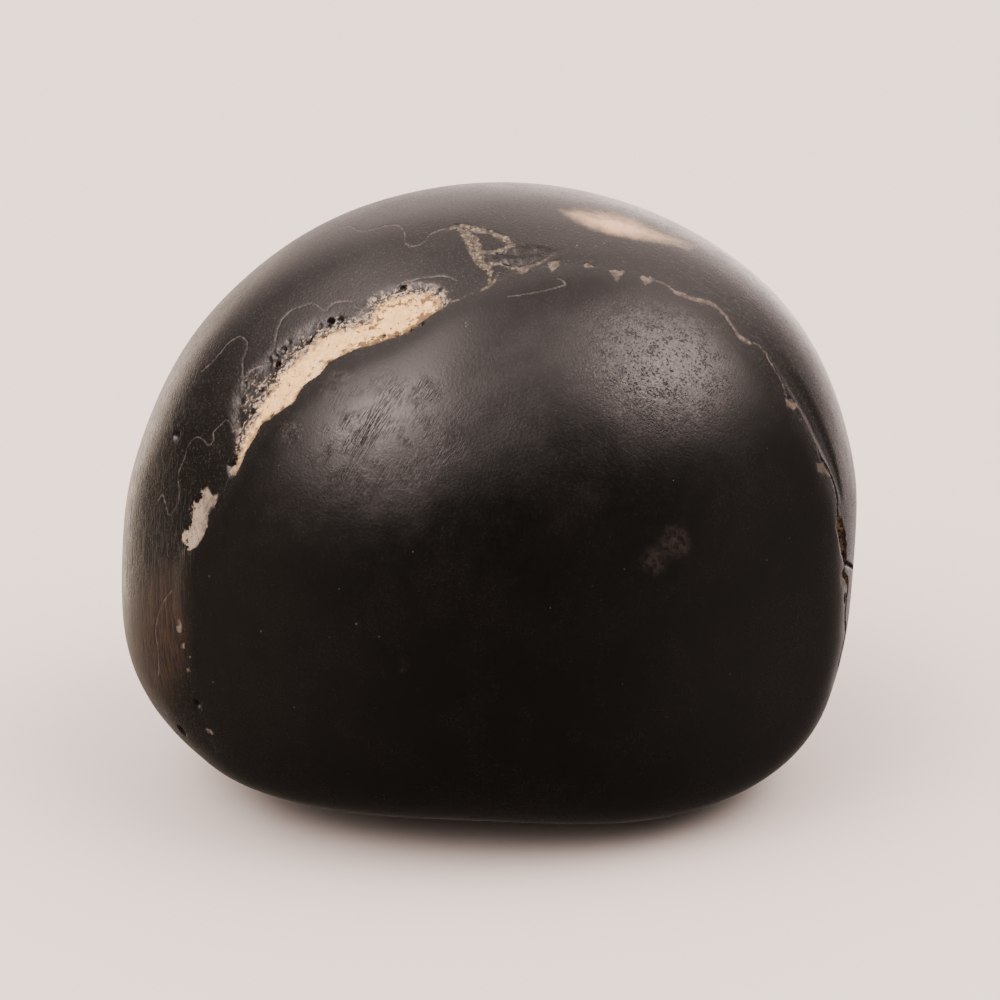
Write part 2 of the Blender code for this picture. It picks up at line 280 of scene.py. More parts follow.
@dataclass(frozen=True)
class Sheet:
    """The sheet through the stone that marks are drawn on, as an eye in front sees it."""

    body: Body
    lean: float = 18.0
    offset: tuple[float, float, float] = (1.1, 0.8, 2.4)
    eye_reach: float = 377.0
    search: tuple[float, float, int] = (-60.0, 25.0, 426)

    @property
    def middle(self) -> Array:
        """The sheet's middle, in mm."""
        return np.array(self.body.middle) + self.offset

    @property
    def axes(self) -> tuple[Array, Array, Array]:
        """Right, up and away from the eye."""
        lean = math.radians(self.lean)
        up = np.array((0.0, math.sin(lean), math.cos(lean)))
        away = np.array((0.0, math.cos(lean), -math.sin(lean)))
        return np.array((1.0, 0.0, 0.0)), up, away

    @property
    def eye(self) -> Array:
        """The eye's place, in mm."""
        return self.middle - self.axes[2] * self.eye_reach

    def lift(self, marks: Array) -> Array:
        """Find where marks on the sheet fall on the body, as the eye sees them.

        Args:
            marks: places on the sheet: mm to the right of its middle, and mm up from it.

        Returns:
            The points on the body, one a row.
        """
        right, up, away = self.axes
        marks = np.asarray(marks, float)
        rays = unit(marks[:, :1] * right + marks[:, 1:2] * up + away * self.eye_reach)
        first, last, count = self.search
        steps = np.linspace(self.eye_reach + first, self.eye_reach + last, count)
        places = self.eye + rays[:, None, :] * steps[None, :, None]
        offsets = places.reshape(-1, 3) - self.body.middle
        outside = np.linalg.norm(offsets, axis=1) - self.body.reach(unit(offsets))
        outside = outside.reshape(len(marks), -1)
        hits = (outside < 0).any(axis=1)
        index = np.where(hits, (outside < 0).argmax(axis=1), outside.argmin(axis=1))
        return self.body.onto(places[np.arange(len(marks)), index])

    def places(self, points: Array) -> tuple[Array, Array]:
        """Give the sheet place of points, and how far behind the body's middle they lie."""
        right, up, away = self.axes
        offsets = points - self.middle
        scale = self.eye_reach / (self.eye_reach + offsets @ away)
        flat = np.stack((offsets @ right * scale, offsets @ up * scale), axis=1)
        return flat, (points - self.body.middle) @ away

    def clock_and_tilt(self, points: Array) -> tuple[Array, Array]:
        """Clock angle round the eye's line from the right, and angle away from that line."""
        right, up, away = self.axes
        ways = unit(points - self.body.middle)
        clock = np.degrees(np.arctan2(ways @ up, ways @ right))
        return clock, np.degrees(np.arccos(np.clip(-ways @ away, -1, 1)))


@dataclass
class Ground:
    """A mesh's points on the plain body, and what every mark asks about them."""

    sheet: Sheet
    points: Array
    flat: Array = field(init=False)
    behind: Array = field(init=False)

    def __post_init__(self) -> None:
        """Work out the sheet places once."""
        self.flat, self.behind = self.sheet.places(self.points)

    def gap_to(self, path: Array) -> tuple[Array, Array]:
        """Distance from each point to a path's points, and which of these is nearest."""
        tree = kdtree.KDTree(len(path))
        for number, place in enumerate(path):
            tree.insert(place, number)
        tree.balance()
        found = [tree.find(point)[1:] for point in self.points]
        return np.array([gap for _, gap in found]), np.array([number for number, _ in found])

    def depth_in(self, outline: Places) -> Array:
        """Signed distance to a closed outline on the sheet: more than 0 inside it.

        Args:
            outline: the outline's places on the sheet.

        Returns:
            The depth of each point in mm, far below 0 on the side that the eye can't see.
        """
        edge = np.asarray(outline, float)
        distance = np.full(len(self.points), FAR)
        inside = np.zeros(len(self.points), bool)
        x, y = self.flat.T
        for start, end in zip(edge, np.roll(edge, -1, axis=0)):
            side = end - start
            share = np.clip((self.flat - start) @ side / (side @ side), 0, 1)
            gap = np.linalg.norm(self.flat - start - share[:, None] * side, axis=1)
            distance = np.minimum(distance, gap)
            crossing = start[0] + (y - start[1]) / (side[1] or 1e-9) * side[0]
            inside ^= ((start[1] > y) != (end[1] > y)) & (x < crossing)
        depth = np.where(inside, distance, -distance)
        return np.where(self.behind < 0, depth, -FAR)


@dataclass
class Imprint:
    """What a mark does to the ground.

    height is in mm, edge is how long the mesh's edges may be, and fields hold what the
    finish reads: mostly how deep inside the mark a point lies, in mm.
    """

    height: Union[Array, float]
    edge: Union[Array, float]
    fields: Fields = field(default_factory=dict)


class Field(Enum):
    """The vertex fields that the marks write and the finishes read."""

    LOBE = "into_lobe"
    CALCITE = "calcite"
    BAND = "pitted_band"
    TAN = "tan_filling"
    HAIRLINE = "hairline"
    NET = "net"
    OVAL = "oval"
    # Painted shade inside deep pits and cracks
    PAINTED_HOLE_SHADE = "painted_hole_shade"
    EARTH = "crack_earth"
    PEBBLES = "pebbles"
    BROWN = "brown_side"
    WORN = "worn_spot"
    SCUFF = "scuffs"
    RUBBED = "rubbed"
    MARKED = "marked"


# How far outside each filling, in mm, its ragged edge may reach
RAGGED_REACH = {
    Field.CALCITE: 1.3, Field.BAND: 1.7, Field.TAN: 0.5, Field.HAIRLINE: 0.5, Field.NET: 0.8,
    Field.OVAL: 0.6, Field.EARTH: 0.6,
}


class Mark:
    """One kind of mark on the stone."""

    def imprint(self, ground: Ground) -> Imprint:
        """Press the mark into the ground."""
        raise NotImplementedError


@dataclass(frozen=True)
class Seam(Mark):
    """The seam that rings the front lobe: a soft valley under the lobe's shoulder.

    depth_by_clock gives how deep the seam is, by clock angle from the right. section
    gives the height across it for a depth of 1 mm, by mm into the lobe.
    """

    drawn: Places = (
        (-38.7, -33.9), (-41.4, -27.1), (-43.4, -20.4), (-44.6, -13.0), (-43.4, -6.5),
        (-39.2, -0.3), (-35.4, 6.6), (-31.4, 12.0), (-26.6, 16.6), (-20.6, 20.4), (-14.0, 23.0),
        (-8.0, 26.4), (-1.4, 29.8), (5.0, 31.8), (12.2, 32.0), (20.4, 30.4), (27.1, 27.2),
        (32.9, 21.9), (39.3, 13.7), (43.3, 6.8), (45.9, 0.6), (47.0, -6.5), (47.3, -13.6),
        (46.8, -19.7), (45.9, -23.3),
    )
    under: Places = (
        (0.78, -0.10, -0.62), (0.40, 0.05, -0.90), (-0.40, 0.02, -0.90), (-0.74, -0.20, -0.66),
    )
    depth_by_clock: Places = (
        (-90, 0.0), (-50, 0.10), (-25, 0.35), (0, 0.45), (20, 0.55), (45, 0.40), (70, 0.45),
        (90, 0.75), (110, 1.10), (150, 1.25), (178, 1.00), (195, 0.60), (215, 0.45),
        (235, 0.25), (270, 0.0),
    )
    section: Places = (
        (-24, 0.0), (-17, -0.20), (-11, -0.80), (-7, -1.10), (-3, -1.10), (-0.7, -0.90),
        (0.7, -0.60), (3, -0.05), (7, 0.35), (12, 0.25), (20, 0.0),
    )
    gap: float = 0.8

    def path(self, sheet: Sheet) -> Array:
        """The closed seam, as points on the body."""
        under = np.array(sheet.body.middle) + unit(np.array(self.under)) * sheet.body.front
        ends = sheet.lift((self.drawn[-1], self.drawn[0]))
        hidden = sheet.body.onto(along(np.concatenate((ends[:1], under, ends[1:])), self.gap))
        return np.concatenate((sheet.lift(along(self.drawn, self.gap)), hidden[1:-1]))

    def imprint(self, ground: Ground) -> Imprint:
        """Round the lobe's shoulder and sink the valley outside it."""
        path = self.path(ground.sheet)
        distance, _ = ground.gap_to(path)
        clock, tilt = ground.sheet.clock_and_tilt(ground.points)
        path_clock, path_tilt = ground.sheet.clock_and_tilt(path)
        order = np.argsort(path_clock)
        limit = np.interp(clock, path_clock[order], path_tilt[order], period=360)
        into_lobe = np.where(tilt < limit, distance, -distance)
        clock = np.where(clock < -90, clock + 360, clock)
        depth = smooth_through(*np.array(self.depth_by_clock, float).T, clock)
        height = depth * smooth_through(*np.array(self.section, float).T, into_lobe)
        return Imprint(height, ANY_LENGTH, {Field.LOBE.value: into_lobe})


@dataclass(frozen=True)
class Calcite(Mark):
    """The pale, sugary calcite that fills the seam at the upper left."""

    upper_edge: Places = (
        (-36.2, 6.1), (-36.2, 7.6), (-35.6, 9.8), (-34.2, 11.9), (-34.1, 13.3), (-33.0, 15.1),
        (-31.6, 17.2), (-30.3, 19.0), (-29.0, 20.3), (-26.8, 22.0), (-25.5, 23.3),
        (-23.8, 24.0), (-22.0, 24.7), (-20.2, 25.1), (-18.5, 25.8), (-18.1, 26.5),
        (-17.2, 28.0), (-15.5, 28.6), (-12.8, 29.2), (-9.8, 29.2), (-8.4, 28.6), (-7.7, 27.6),
    )
    lower_edge: Places = (
        (-36.0, 5.4), (-35.2, 6.8), (-34.1, 8.5), (-33.4, 10.5), (-32.0, 11.5), (-30.3, 12.4),
        (-28.4, 13.7), (-28.1, 14.7), (-27.3, 16.2), (-25.1, 17.6), (-24.2, 19.4),
        (-22.4, 20.3), (-19.8, 21.4), (-17.2, 21.9), (-15.5, 22.5), (-13.7, 22.9),
        (-11.9, 24.0), (-9.8, 25.5), (-8.4, 26.5),
    )
    lump: Places = (
        (-38.1, 5.0), (-37.2, 5.4), (-35.8, 6.1), (-35.2, 6.5), (-35.8, 4.8), (-36.5, 3.5),
        (-37.5, 3.1), (-37.9, 4.1),
    )
    patch: Places = (
        (-40.9, 2.3), (-40.2, 0.9), (-39.2, 1.0), (-39.3, -0.3), (-40.3, -1.8), (-40.2, -3.4),
        (-40.6, -4.9), (-41.4, -6.3), (-42.5, -6.8), (-43.6, -6.0), (-44.0, -4.9), (-43.5, -3.4),
        (-43.2, -2.0), (-42.9, -0.7), (-42.1, 0.7), (-41.5, 1.9),
    )
    sink: float = 0.30
    swell_size: float = 2.4
    swell_height: float = 0.22
    grain_sizes: Places = ((1.1, 0.14), (0.55, 0.07))
    edge: float = 0.27

    def imprint(self, ground: Ground) -> Imprint:
        """Sink the filling a little and give it its sugary grains."""
        vein = tuple(self.upper_edge) + tuple(self.lower_edge[::-1])
        outlines = (vein, self.lump, self.patch)
        depth = np.max([ground.depth_in(outline) for outline in outlines], axis=0)
        share = ease(-0.2, 0.5, depth)

        def surface(points: Array) -> Array:
            """The filling's lumps, with grains of each size on them."""
            height = self.swell_height * lumps(points, self.swell_size) - self.sink
            for number, (size, rise) in enumerate(self.grain_sizes):
                height = height + rise * (grains(points, size, 3.7 * number) - 0.5)
            return height

        height = share * where_near(share, ground.points, surface)
        edge = edges_round(self.edge, -depth, BROAD_GROWTH)
        return Imprint(height, edge, {Field.CALCITE.value: depth})


@dataclass(frozen=True)
class PittedBand(Mark):
    """The rough band of skin and filling above the calcite."""

    outer_edge: Places = (
        (-7.6, 29.2), (-9.4, 30.1), (-11.9, 30.3), (-15.5, 29.6), (-17.6, 28.6), (-18.9, 26.6),
        (-20.2, 26.1), (-22.9, 26.1), (-25.5, 25.3), (-28.1, 23.8), (-30.7, 21.6),
        (-33.4, 19.4), (-35.6, 17.2), (-36.9, 15.1), (-37.5, 13.7), (-37.7, 11.9),
        (-36.9, 9.8), (-36.4, 8.0),
    )
    sink: float = 0.35
    swell_size: float = 2.4
    swell_height: float = 0.18
    pit_size: float = 1.7
    pit_depth: float = 0.5
    fine_size: float = 0.8
    fine_height: float = 0.07
    edge: float = 0.27

    def imprint(self, ground: Ground) -> Imprint:
        """Sink the band and break it up with pits."""
        inner = Calcite().upper_edge
        depth = ground.depth_in(tuple(self.outer_edge) + tuple(inner[1:]))
        share = ease(-0.7, 1.1, depth)

        def surface(points: Array) -> Array:
            """The band's lumps, with pits in the higher ones."""
            broad = lumps(points, self.swell_size)
            pits = ease(0.35, 0.85, grains(points, self.pit_size, 11.0)) * ease(-0.2, 0.2, broad)
            fine = self.fine_height * waves(points, self.fine_size, 5.0)
            return self.swell_height * broad - self.sink + fine - self.pit_depth * pits

        height = share * where_near(share, ground.points, surface)
        return Imprint(height, edges_round(self.edge, -depth, BROAD_GROWTH), {Field.BAND.value: depth})


@dataclass(frozen=True)
class Groove(Mark):
    """A groove: sheet place, half width in mm and depth in mm along its route.

    A dark groove gets painted shade where it is deep, and a crack can hold earth. roughness is how
    ragged its sides are, as a share of its half width, and gap is how close its points are.
    """

    route: Places
    edge: float
    earth: bool = False
    roughness: float = 0.0
    dark: bool = True
    gap: float = 0.1
    ragged_size: float = 1.1
    ragged_reach: tuple[float, float] = (6.0, 3.0)
    side: tuple[float, float] = (0.4, 1.6)
    full_shade_depth: float = 0.8

    def imprint(self, ground: Ground) -> Imprint:
        """Cut the groove, with ragged sides where it is a crack."""
        route = along(self.route, self.gap)
        distance, index = ground.gap_to(ground.sheet.lift(route[:, :2]))
        half, depth = route[index, 2], route[index, 3]
        near = ease(*self.ragged_reach, distance / half)
        ragged = where_near(near, ground.points, lambda at: waves(at, self.ragged_size, 2.0))
        share = 1 - ease(*self.side, distance / half + self.roughness * ragged)
        # Painted shade: a dark groove is painted darker the deeper it is
        shade = np.clip(depth / self.full_shade_depth, 0, 1) * self.dark
        fields = {Field.PAINTED_HOLE_SHADE.value: share * shade}
        if self.earth:
            fields[Field.EARTH.value] = half * self.side[1] - distance
        return Imprint(-depth * share, edges_round(self.edge, distance, BROAD_GROWTH), fields)


@dataclass(frozen=True)
class Pits(Mark):
    """Small round pits: points on the body, and each pit's radius and depth in mm."""

    centres: Array
    sizes: Places
    side: tuple[float, float] = (0.3, 1.3)
    full_shade_depth: float = 0.5
    edge: float = 0.22

    def imprint(self, ground: Ground) -> Imprint:
        """Sink every pit."""
        height = np.zeros(len(ground.points))
        share = np.zeros(len(ground.points))
        distance = np.full(len(ground.points), FAR)
        for centre, (radius, depth) in zip(self.centres, self.sizes):
            gap = np.linalg.norm(ground.points - centre, axis=1)
            inside = 1 - ease(*self.side, gap / radius)
            height -= depth * inside
            # Painted shade: a pit is painted darker the deeper it is
            share = np.maximum(share, inside * min(depth / self.full_shade_depth, 1.0))
            distance = np.minimum(distance, gap - radius)
        return Imprint(height, edges_round(self.edge, distance, BROAD_GROWTH), {Field.PAINTED_HOLE_SHADE.value: share})


@dataclass(frozen=True)
class Lines(Mark):
    """Thin lines of filling on the body: paths, and half widths in mm."""

    kind: Field
    paths: Sequence[Array]
    half_widths: Sequence[float]
    sink: float
    side: tuple[float, float] = (0.5, 2.0)
    edge: float = 0.2

    def imprint(self, ground: Ground) -> Imprint:
        """Sink the lines slightly and mark their depth."""
        halves = np.repeat(self.half_widths, [len(path) for path in self.paths])
        distance, index = ground.gap_to(np.concatenate(self.paths))
        half = halves[index]
        height = -self.sink * (1 - ease(*self.side, distance / half))
        edge = edges_round(self.edge, distance - half, FINE_GROWTH)
        return Imprint(height, edge, {self.kind.value: half - distance})


@dataclass(frozen=True)
class Spots(Mark):
    """Filled outlines on the sheet."""

    kind: Field
    outlines: Sequence[Places]
    sink: float
    rise_width: float = 0.25
    edge: float = 0.22

    def imprint(self, ground: Ground) -> Imprint:
        """Sink the fillings slightly and mark their depth."""
        depth = np.max([ground.depth_in(outline) for outline in self.outlines], axis=0)
        height = -self.sink * ease(-self.rise_width, self.rise_width, depth)
        return Imprint(height, edges_round(self.edge, -depth, FINE_GROWTH), {self.kind.value: depth})


@dataclass(frozen=True)
class Net(Mark):
    """The granular strands of filling beside the seam, near the top.

    Each strand is places on the sheet, with the strand's half width in mm at each.
    """

    strands: Sequence[Places] = (
        ((-7.3, 37.2, 0.25), (-5.6, 37.6, 0.45), (-3.4, 37.3, 0.55), (-0.8, 36.8, 0.40),
         (0.8, 36.0, 0.45), (1.8, 35.2, 0.30)),
        ((-5.2, 37.3, 0.6), (-3.8, 35.6, 0.95), (-3.0, 33.8, 0.85), (-2.5, 32.7, 0.6),
         (-1.4, 32.2, 0.5)),
        ((-2.6, 34.4, 0.40), (-0.8, 34.5, 0.30), (1.2, 35.1, 0.30)),
        ((-1.4, 32.6, 0.45), (-0.2, 32.9, 0.35), (1.4, 32.3, 0.35), (2.9, 31.6, 0.40)),
        ((-1.4, 32.2, 0.35), (-1.4, 30.5, 0.20), (-1.6, 29.4, 0.28), (-3.0, 28.8, 0.08),
         (-4.7, 28.0, 0.03), (-6.4, 27.4, 0.08), (-7.4, 27.2, 0.03)),
        ((-0.1, 31.4, 0.15), (-0.8, 30.2, 0.20), (-1.3, 29.5, 0.25)),
    )
    sink: float = 0.10
    grain_size: float = 0.9
    grain_height: float = 0.22
    rise_width: float = 0.3
    gap: float = 0.15
    edge: float = 0.22

    def imprint(self, ground: Ground) -> Imprint:
        """Sink the strands a little and give them grains."""
        strands = np.concatenate([along(strand, self.gap) for strand in self.strands])
        distance, index = ground.gap_to(ground.sheet.lift(strands[:, :2]))
        depth = strands[index, 2] - distance
        share = ease(-self.rise_width, self.rise_width, depth)
        rough = where_near(share, ground.points, lambda at: grains(at, self.grain_size, 4.0))
        height = share * (self.grain_height * rough - self.sink)
        return Imprint(height, edges_round(self.edge, -depth, FINE_GROWTH), {Field.NET.value: depth})


@dataclass(frozen=True)
class SoftArea(Mark):
    """An area with no sharp edge, as ellipses on the sheet.

    Each ellipse is a place, half sizes, a turn in degrees and a strength. An area that
    goes round the edge fades out within the wrap, in mm behind the body's middle.
    """

    kind: Field
    ellipses: Places
    wrap: float = 16.0
    fade: tuple[float, float] = (0.35, 1.25)

    def imprint(self, ground: Ground) -> Imprint:
        """Mark the share of the area."""
        share = np.zeros(len(ground.points))
        for x, y, half_x, half_y, turn, strength in self.ellipses:
            angle = math.radians(turn)
            spin = np.array(((math.cos(angle), -math.sin(angle)), (math.sin(angle), math.cos(angle))))
            offset = (ground.flat - (x, y)) @ spin / (half_x, half_y)
            within = 1 - ease(*self.fade, np.linalg.norm(offset, axis=1))
            share = np.maximum(share, strength * within)
        share = share * ease(self.wrap, 0.0, ground.behind)
        return Imprint(0.0, ANY_LENGTH, {self.kind.value: share})


@dataclass(frozen=True)
class SutureRun:
    """A wavy hairline across a side that the eye doesn't see.

    start and end are an azimuth and an elevation in degrees, lobes is how many waves the
    line makes on its way, and swing is their height in mm.
    """

    start: tuple[float, float]
    end: tuple[float, float]
    lobes: float
    swing: float
    phase: float = 0.0

    def path(self, body: Body, gap: float = 0.15) -> Array:
        """Follow the arc from start to end, swinging to both sides of it."""
        first, last = compass(*self.start), compass(*self.end)
        angle = math.acos(float(np.clip(first @ last, -1, 1)))
        count = math.ceil(angle * body.front * 1.6 / gap)
        share = np.linspace(0, 1, count)
        arc = np.sin((1 - share) * angle)[:, None] * first + np.sin(share * angle)[:, None] * last
        aside = np.cross(first, last) / math.sin(angle)
        turn = 2 * math.pi * self.lobes * share + self.phase
        swing = np.sin(turn + 0.9 * np.sin(turn)) + 0.35 * np.sin(2.3 * turn + 1.0)
        swing = swing * (0.6 + 0.4 * np.sin(0.37 * turn + self.phase))
        ways = arc / math.sin(angle) + (self.swing / body.front) * swing[:, None] * aside
        return body.onto(np.array(body.middle) + ways)


class Value:
    """A shader value. Python's operators on it add Math nodes."""

    def __init__(self, shader: "Shader", socket: bpy.types.NodeSocket) -> None:
        """Wrap a node's output."""
        self.shader = shader
        self.socket = socket

    @property
    def key(self) -> tuple[str, str]:
        """What tells this output from every other."""
        return self.socket.node.name, self.socket.identifier

    def _math(self, operation: str, *values: "Number") -> "Value":
        """Add one Math node."""
        inputs = dict(enumerate(values))
        return self.shader.node("ShaderNodeMath", {"operation": operation}, inputs)

    def __add__(self, other: "Number") -> "Value":
        """Add."""
        return self._math("ADD", self, other)

    def __radd__(self, other: "Number") -> "Value":
        """Add to a number."""
        return self._math("ADD", other, self)

    def __sub__(self, other: "Number") -> "Value":
        """Subtract."""
        return self._math("SUBTRACT", self, other)

    def __rsub__(self, other: "Number") -> "Value":
        """Subtract from a number."""
        return self._math("SUBTRACT", other, self)

    def __mul__(self, other: "Number") -> "Value":
        """Multiply."""
        return self._math("MULTIPLY", self, other)

    def __rmul__(self, other: "Number") -> "Value":
        """Multiply a number."""
        return self._math("MULTIPLY", other, self)

    def __truediv__(self, other: "Number") -> "Value":
        """Divide."""
        return self._math("DIVIDE", self, other)

    def most(self, other: "Number") -> "Value":
        """The larger of two values."""
        return self._math("MAXIMUM", self, other)

    def least(self, other: "Number") -> "Value":
        """The smaller of two values."""
        return self._math("MINIMUM", self, other)

    def exp(self) -> "Value":
        """e to the power of the value."""
        return self._math("EXPONENT", self)

    def rise(self, low: float, high: float) -> "Value":
        """Rise smoothly from 0 at one value to 1 at another."""
        inputs = {"Value": self, "From Min": low, "From Max": high}
        return self.shader.node("ShaderNodeMapRange", {"interpolation_type": "SMOOTHSTEP"}, inputs)

    def fall(self, low: float, high: float) -> "Value":
        """Fall smoothly from 1 at one value to 0 at another."""
        return 1.0 - self.rise(low, high)


Number = Union[Value, float]
Colour = Union[Value, Tone]


class Shader:
    """The nodes of a material or of the surroundings."""

    def __init__(self, owner: Union[bpy.types.Material, bpy.types.World]) -> None:
        """Empty the owner's nodes."""
        owner.use_nodes = True
        self.tree = owner.node_tree
        self.tree.nodes.clear()
        self.made: dict[tuple, bpy.types.Node] = {}

    def node(self, kind: str, settings: Mapping[str, Any] | None = None,
             values: Mapping[Union[str, int], Any] | None = None, output: Union[str, int] = 0) -> Value:
        """Add any node, or give the one that was made with the same settings and values.

        Args:
            kind: the node's type.
            settings: the node's own settings, which are set first.
            values: a value or a link for each named or numbered socket.
            output: which output to give.

        Returns:
            That output.
        """
        settings, values = settings or {}, values or {}
        links = {name: value.key if isinstance(value, Value) else value for name, value in values.items()}
        key = (kind, tuple(settings.items()), tuple(links.items()))
        if key in self.made:
            return Value(self, self.made[key].outputs[output])
        made = self.tree.nodes.new(kind)
        for name, setting in settings.items():
            setattr(made, name, setting)
        for name, value in values.items():
            if isinstance(value, Value):
                self.tree.links.new(value.socket, made.inputs[name])
            elif isinstance(value, tuple) and made.inputs[name].type == "RGBA":
                made.inputs[name].default_value = (*value, 1.0)
            else:
                made.inputs[name].default_value = value
        self.made[key] = made
        return Value(self, made.outputs[output])

    def finish(self, surface: Value, kind: str = "ShaderNodeOutputMaterial") -> None:
        """Send the surface to the output."""
        output = self.tree.nodes.new(kind)
        self.tree.links.new(surface.socket, output.inputs["Surface"])

    def read(self, kind: Field) -> Value:
        """A vertex field."""
        return self.node("ShaderNodeAttribute", {"attribute_name": kind.value}, output="Fac")

    def place(self) -> Value:
        """The place on the object, in mm."""
        where = self.node("ShaderNodeTexCoord", output="Object")
        return self.node("ShaderNodeVectorMath", {"operation": "SCALE"}, {0: where, "Scale": 1 / MM})

    def dot(self, vector: Value, way: Array) -> Value:
        """How far a vector goes along a direction."""
        settings = {"operation": "DOT_PRODUCT"}
        return self.node("ShaderNodeVectorMath", settings, {0: vector, 1: tuple(way)}, "Value")

    def vector(self, x: Number, y: Number, z: Number) -> Value:
        """A vector from three values."""
        return self.node("ShaderNodeCombineXYZ", None, {0: x, 1: y, 2: z})

    def noise(self, place: Value, size: float, detail: float, roughness: float) -> Value:
        """Uneven waves of a size in mm, from 0 to 1."""
        inputs = {"Vector": place, "Scale": 1 / size, "Detail": detail, "Roughness": roughness}
        return self.node("ShaderNodeTexNoise", {"noise_dimensions": "3D"}, inputs)

    def cells(self, place: Value, size: float, output: str = "Distance") -> Value:
        """Cells of a size in mm: the distance in cells, or a cell's own colour."""
        return self.node("ShaderNodeTexVoronoi", None, {"Vector": place, "Scale": 1 / size}, output)

    def mix(self, share: Number, first: Colour, second: Colour) -> Value:
        """Go from one colour to another."""
        return self.node("ShaderNodeMix", {"data_type": "RGBA"}, {0: share, 6: first, 7: second}, 2)

    def join(self, kind: Field, first: Value, second: Value) -> Value:
        """Go from one surface to another, as a vertex field says."""
        return self.node("ShaderNodeMixShader", None, {0: self.read(kind), 1: first, 2: second})

    def blend(self, share: Number, first: Number, second: Number) -> Value:
        """Go from one number to another."""
        return self.node("ShaderNodeMix", {"data_type": "FLOAT"}, {0: share, 2: first, 3: second})


@dataclass
class Skin:
    """What shows of the stone so far: its colour, its roughness and its fine height in mm."""

    shader: Shader
    place: Value
    colour: Value
    roughness: Value
    height: Value

    def noise(self, size: float, detail: float = 2.0, roughness: float = 0.5) -> Value:
        """Uneven waves over the stone, of a size in mm, from 0 to 1."""
        return self.shader.noise(self.place, size, detail, roughness)

    def along(self, way: Union[Array, Tone]) -> Value:
        """How far along a direction a place lies, in mm."""
        return self.shader.dot(self.place, way)

    def depth_in(self, kind: Field, size: float, detail: float, roughness: float,
                 reach: Number) -> Value:
        """How deep in a filling a place lies, with an edge that is ragged by a reach in mm."""
        return self.shader.read(kind) + (self.noise(size, detail, roughness) - 0.5) * reach

    def cover(self, share: Number, colour: Colour, roughness: Number, height: Number) -> None:
        """Lay a finish over the skin.

        Args:
            share: how much of it shows, from 0 to 1.
            colour: its colour.
            roughness: its roughness.
            height: its fine height in mm.
        """
        self.colour = self.shader.mix(share, self.colour, colour)
        self.roughness = self.shader.blend(share, self.roughness, roughness)
        self.height = self.shader.blend(share, self.height, height)

    def surface(self, bend: float) -> Value:
        """Give the skin as a surface with a bend of light like that of a lens."""
        inputs = {"Height": self.height, "Distance": MM, "Strength": 1.0}
        bump = self.shader.node("ShaderNodeBump", None, inputs)
        return self.shader.node("ShaderNodeBsdfPrincipled", None, {
            "Base Color": self.colour, "Roughness": self.roughness, "Normal": bump, "IOR": bend,
        })


@dataclass(frozen=True)
class BlackStone:
    """The worn black stone itself: near black, with a soft oily shine."""

    deep: Tone = (0.0012, 0.0014, 0.0014)
    pale: Tone = (0.0034, 0.0030, 0.0026)
    dust: Tone = (0.11, 0.085, 0.065)
    roughness: float = 0.23
    mottle_size: float = 11.0
    spot_size: float = 2.6
    grain_size: float = 0.36
    grain_height: float = 0.040
    speck_size: float = 1.5
    worn: Tone = (0.050, 0.043, 0.038)

    def skin(self, shader: Shader) -> Skin:
        """Start the skin with bare stone."""
        place = shader.place()
        mottle = shader.noise(place, self.mottle_size, 2.0, 0.6).rise(0.35, 0.68)
        spots = shader.noise(place, self.spot_size, 3.0, 0.65)
        colour = shader.mix(mottle * 0.5 + spots * 0.5, self.deep, self.pale)
        cell = shader.cells(place, self.speck_size)
        chance = shader.cells(place, self.speck_size, "Color")
        speck = cell.fall(0.03, 0.07) * shader.dot(chance, RIGHT).rise(0.9, 0.93)
        colour = shader.mix(speck * 0.7, colour, self.dust)
        roughness = self.roughness + (spots - 0.5) * 0.20 + (mottle - 0.5) * 0.05
        grain = shader.noise(place, self.grain_size, 2.0, 0.7)
        shell = shader.read(Field.LOBE).fall(-1.0, 3.0) * 0.9 + 0.1
        colour = shader.mix(grain.rise(0.58, 0.74) * shell * 0.6, colour, self.worn)
        roughness = roughness + (grain - 0.5) * 0.22
        height = grain * (shell * 0.5 + 0.5) * self.grain_height
        return Skin(shader, place, colour, roughness, height)


@dataclass(frozen=True)
class Scratches:
    """Fine scratches that run one way over a part of the stone."""

    way: Array
    length: float
    width: float
    depth: float
    amount: tuple[float, float]
    dulling: float = 0.12
    lean: Tone = (0.31, 0.89, -0.34)

    def lay(self, skin: Skin, share: Number) -> None:
        """Scratch the skin where a share says.

        Args:
            skin: the skin so far.
            share: how strongly the scratches show, from 0 to 1.
        """
        shader = skin.shader
        way = unit(self.way)
        aside = unit(np.cross(way, self.lean))
        third = np.cross(way, aside)
        place = shader.vector(
            skin.along(way) / self.length,
            skin.along(aside) / self.width,
            skin.along(third) / (3 * self.width),
        )
        line = shader.noise(place, 1.0, 1.0, 0.5).rise(*self.amount) * share
        skin.height = skin.height - line * self.depth
        skin.roughness = skin.roughness + line * self.dulling


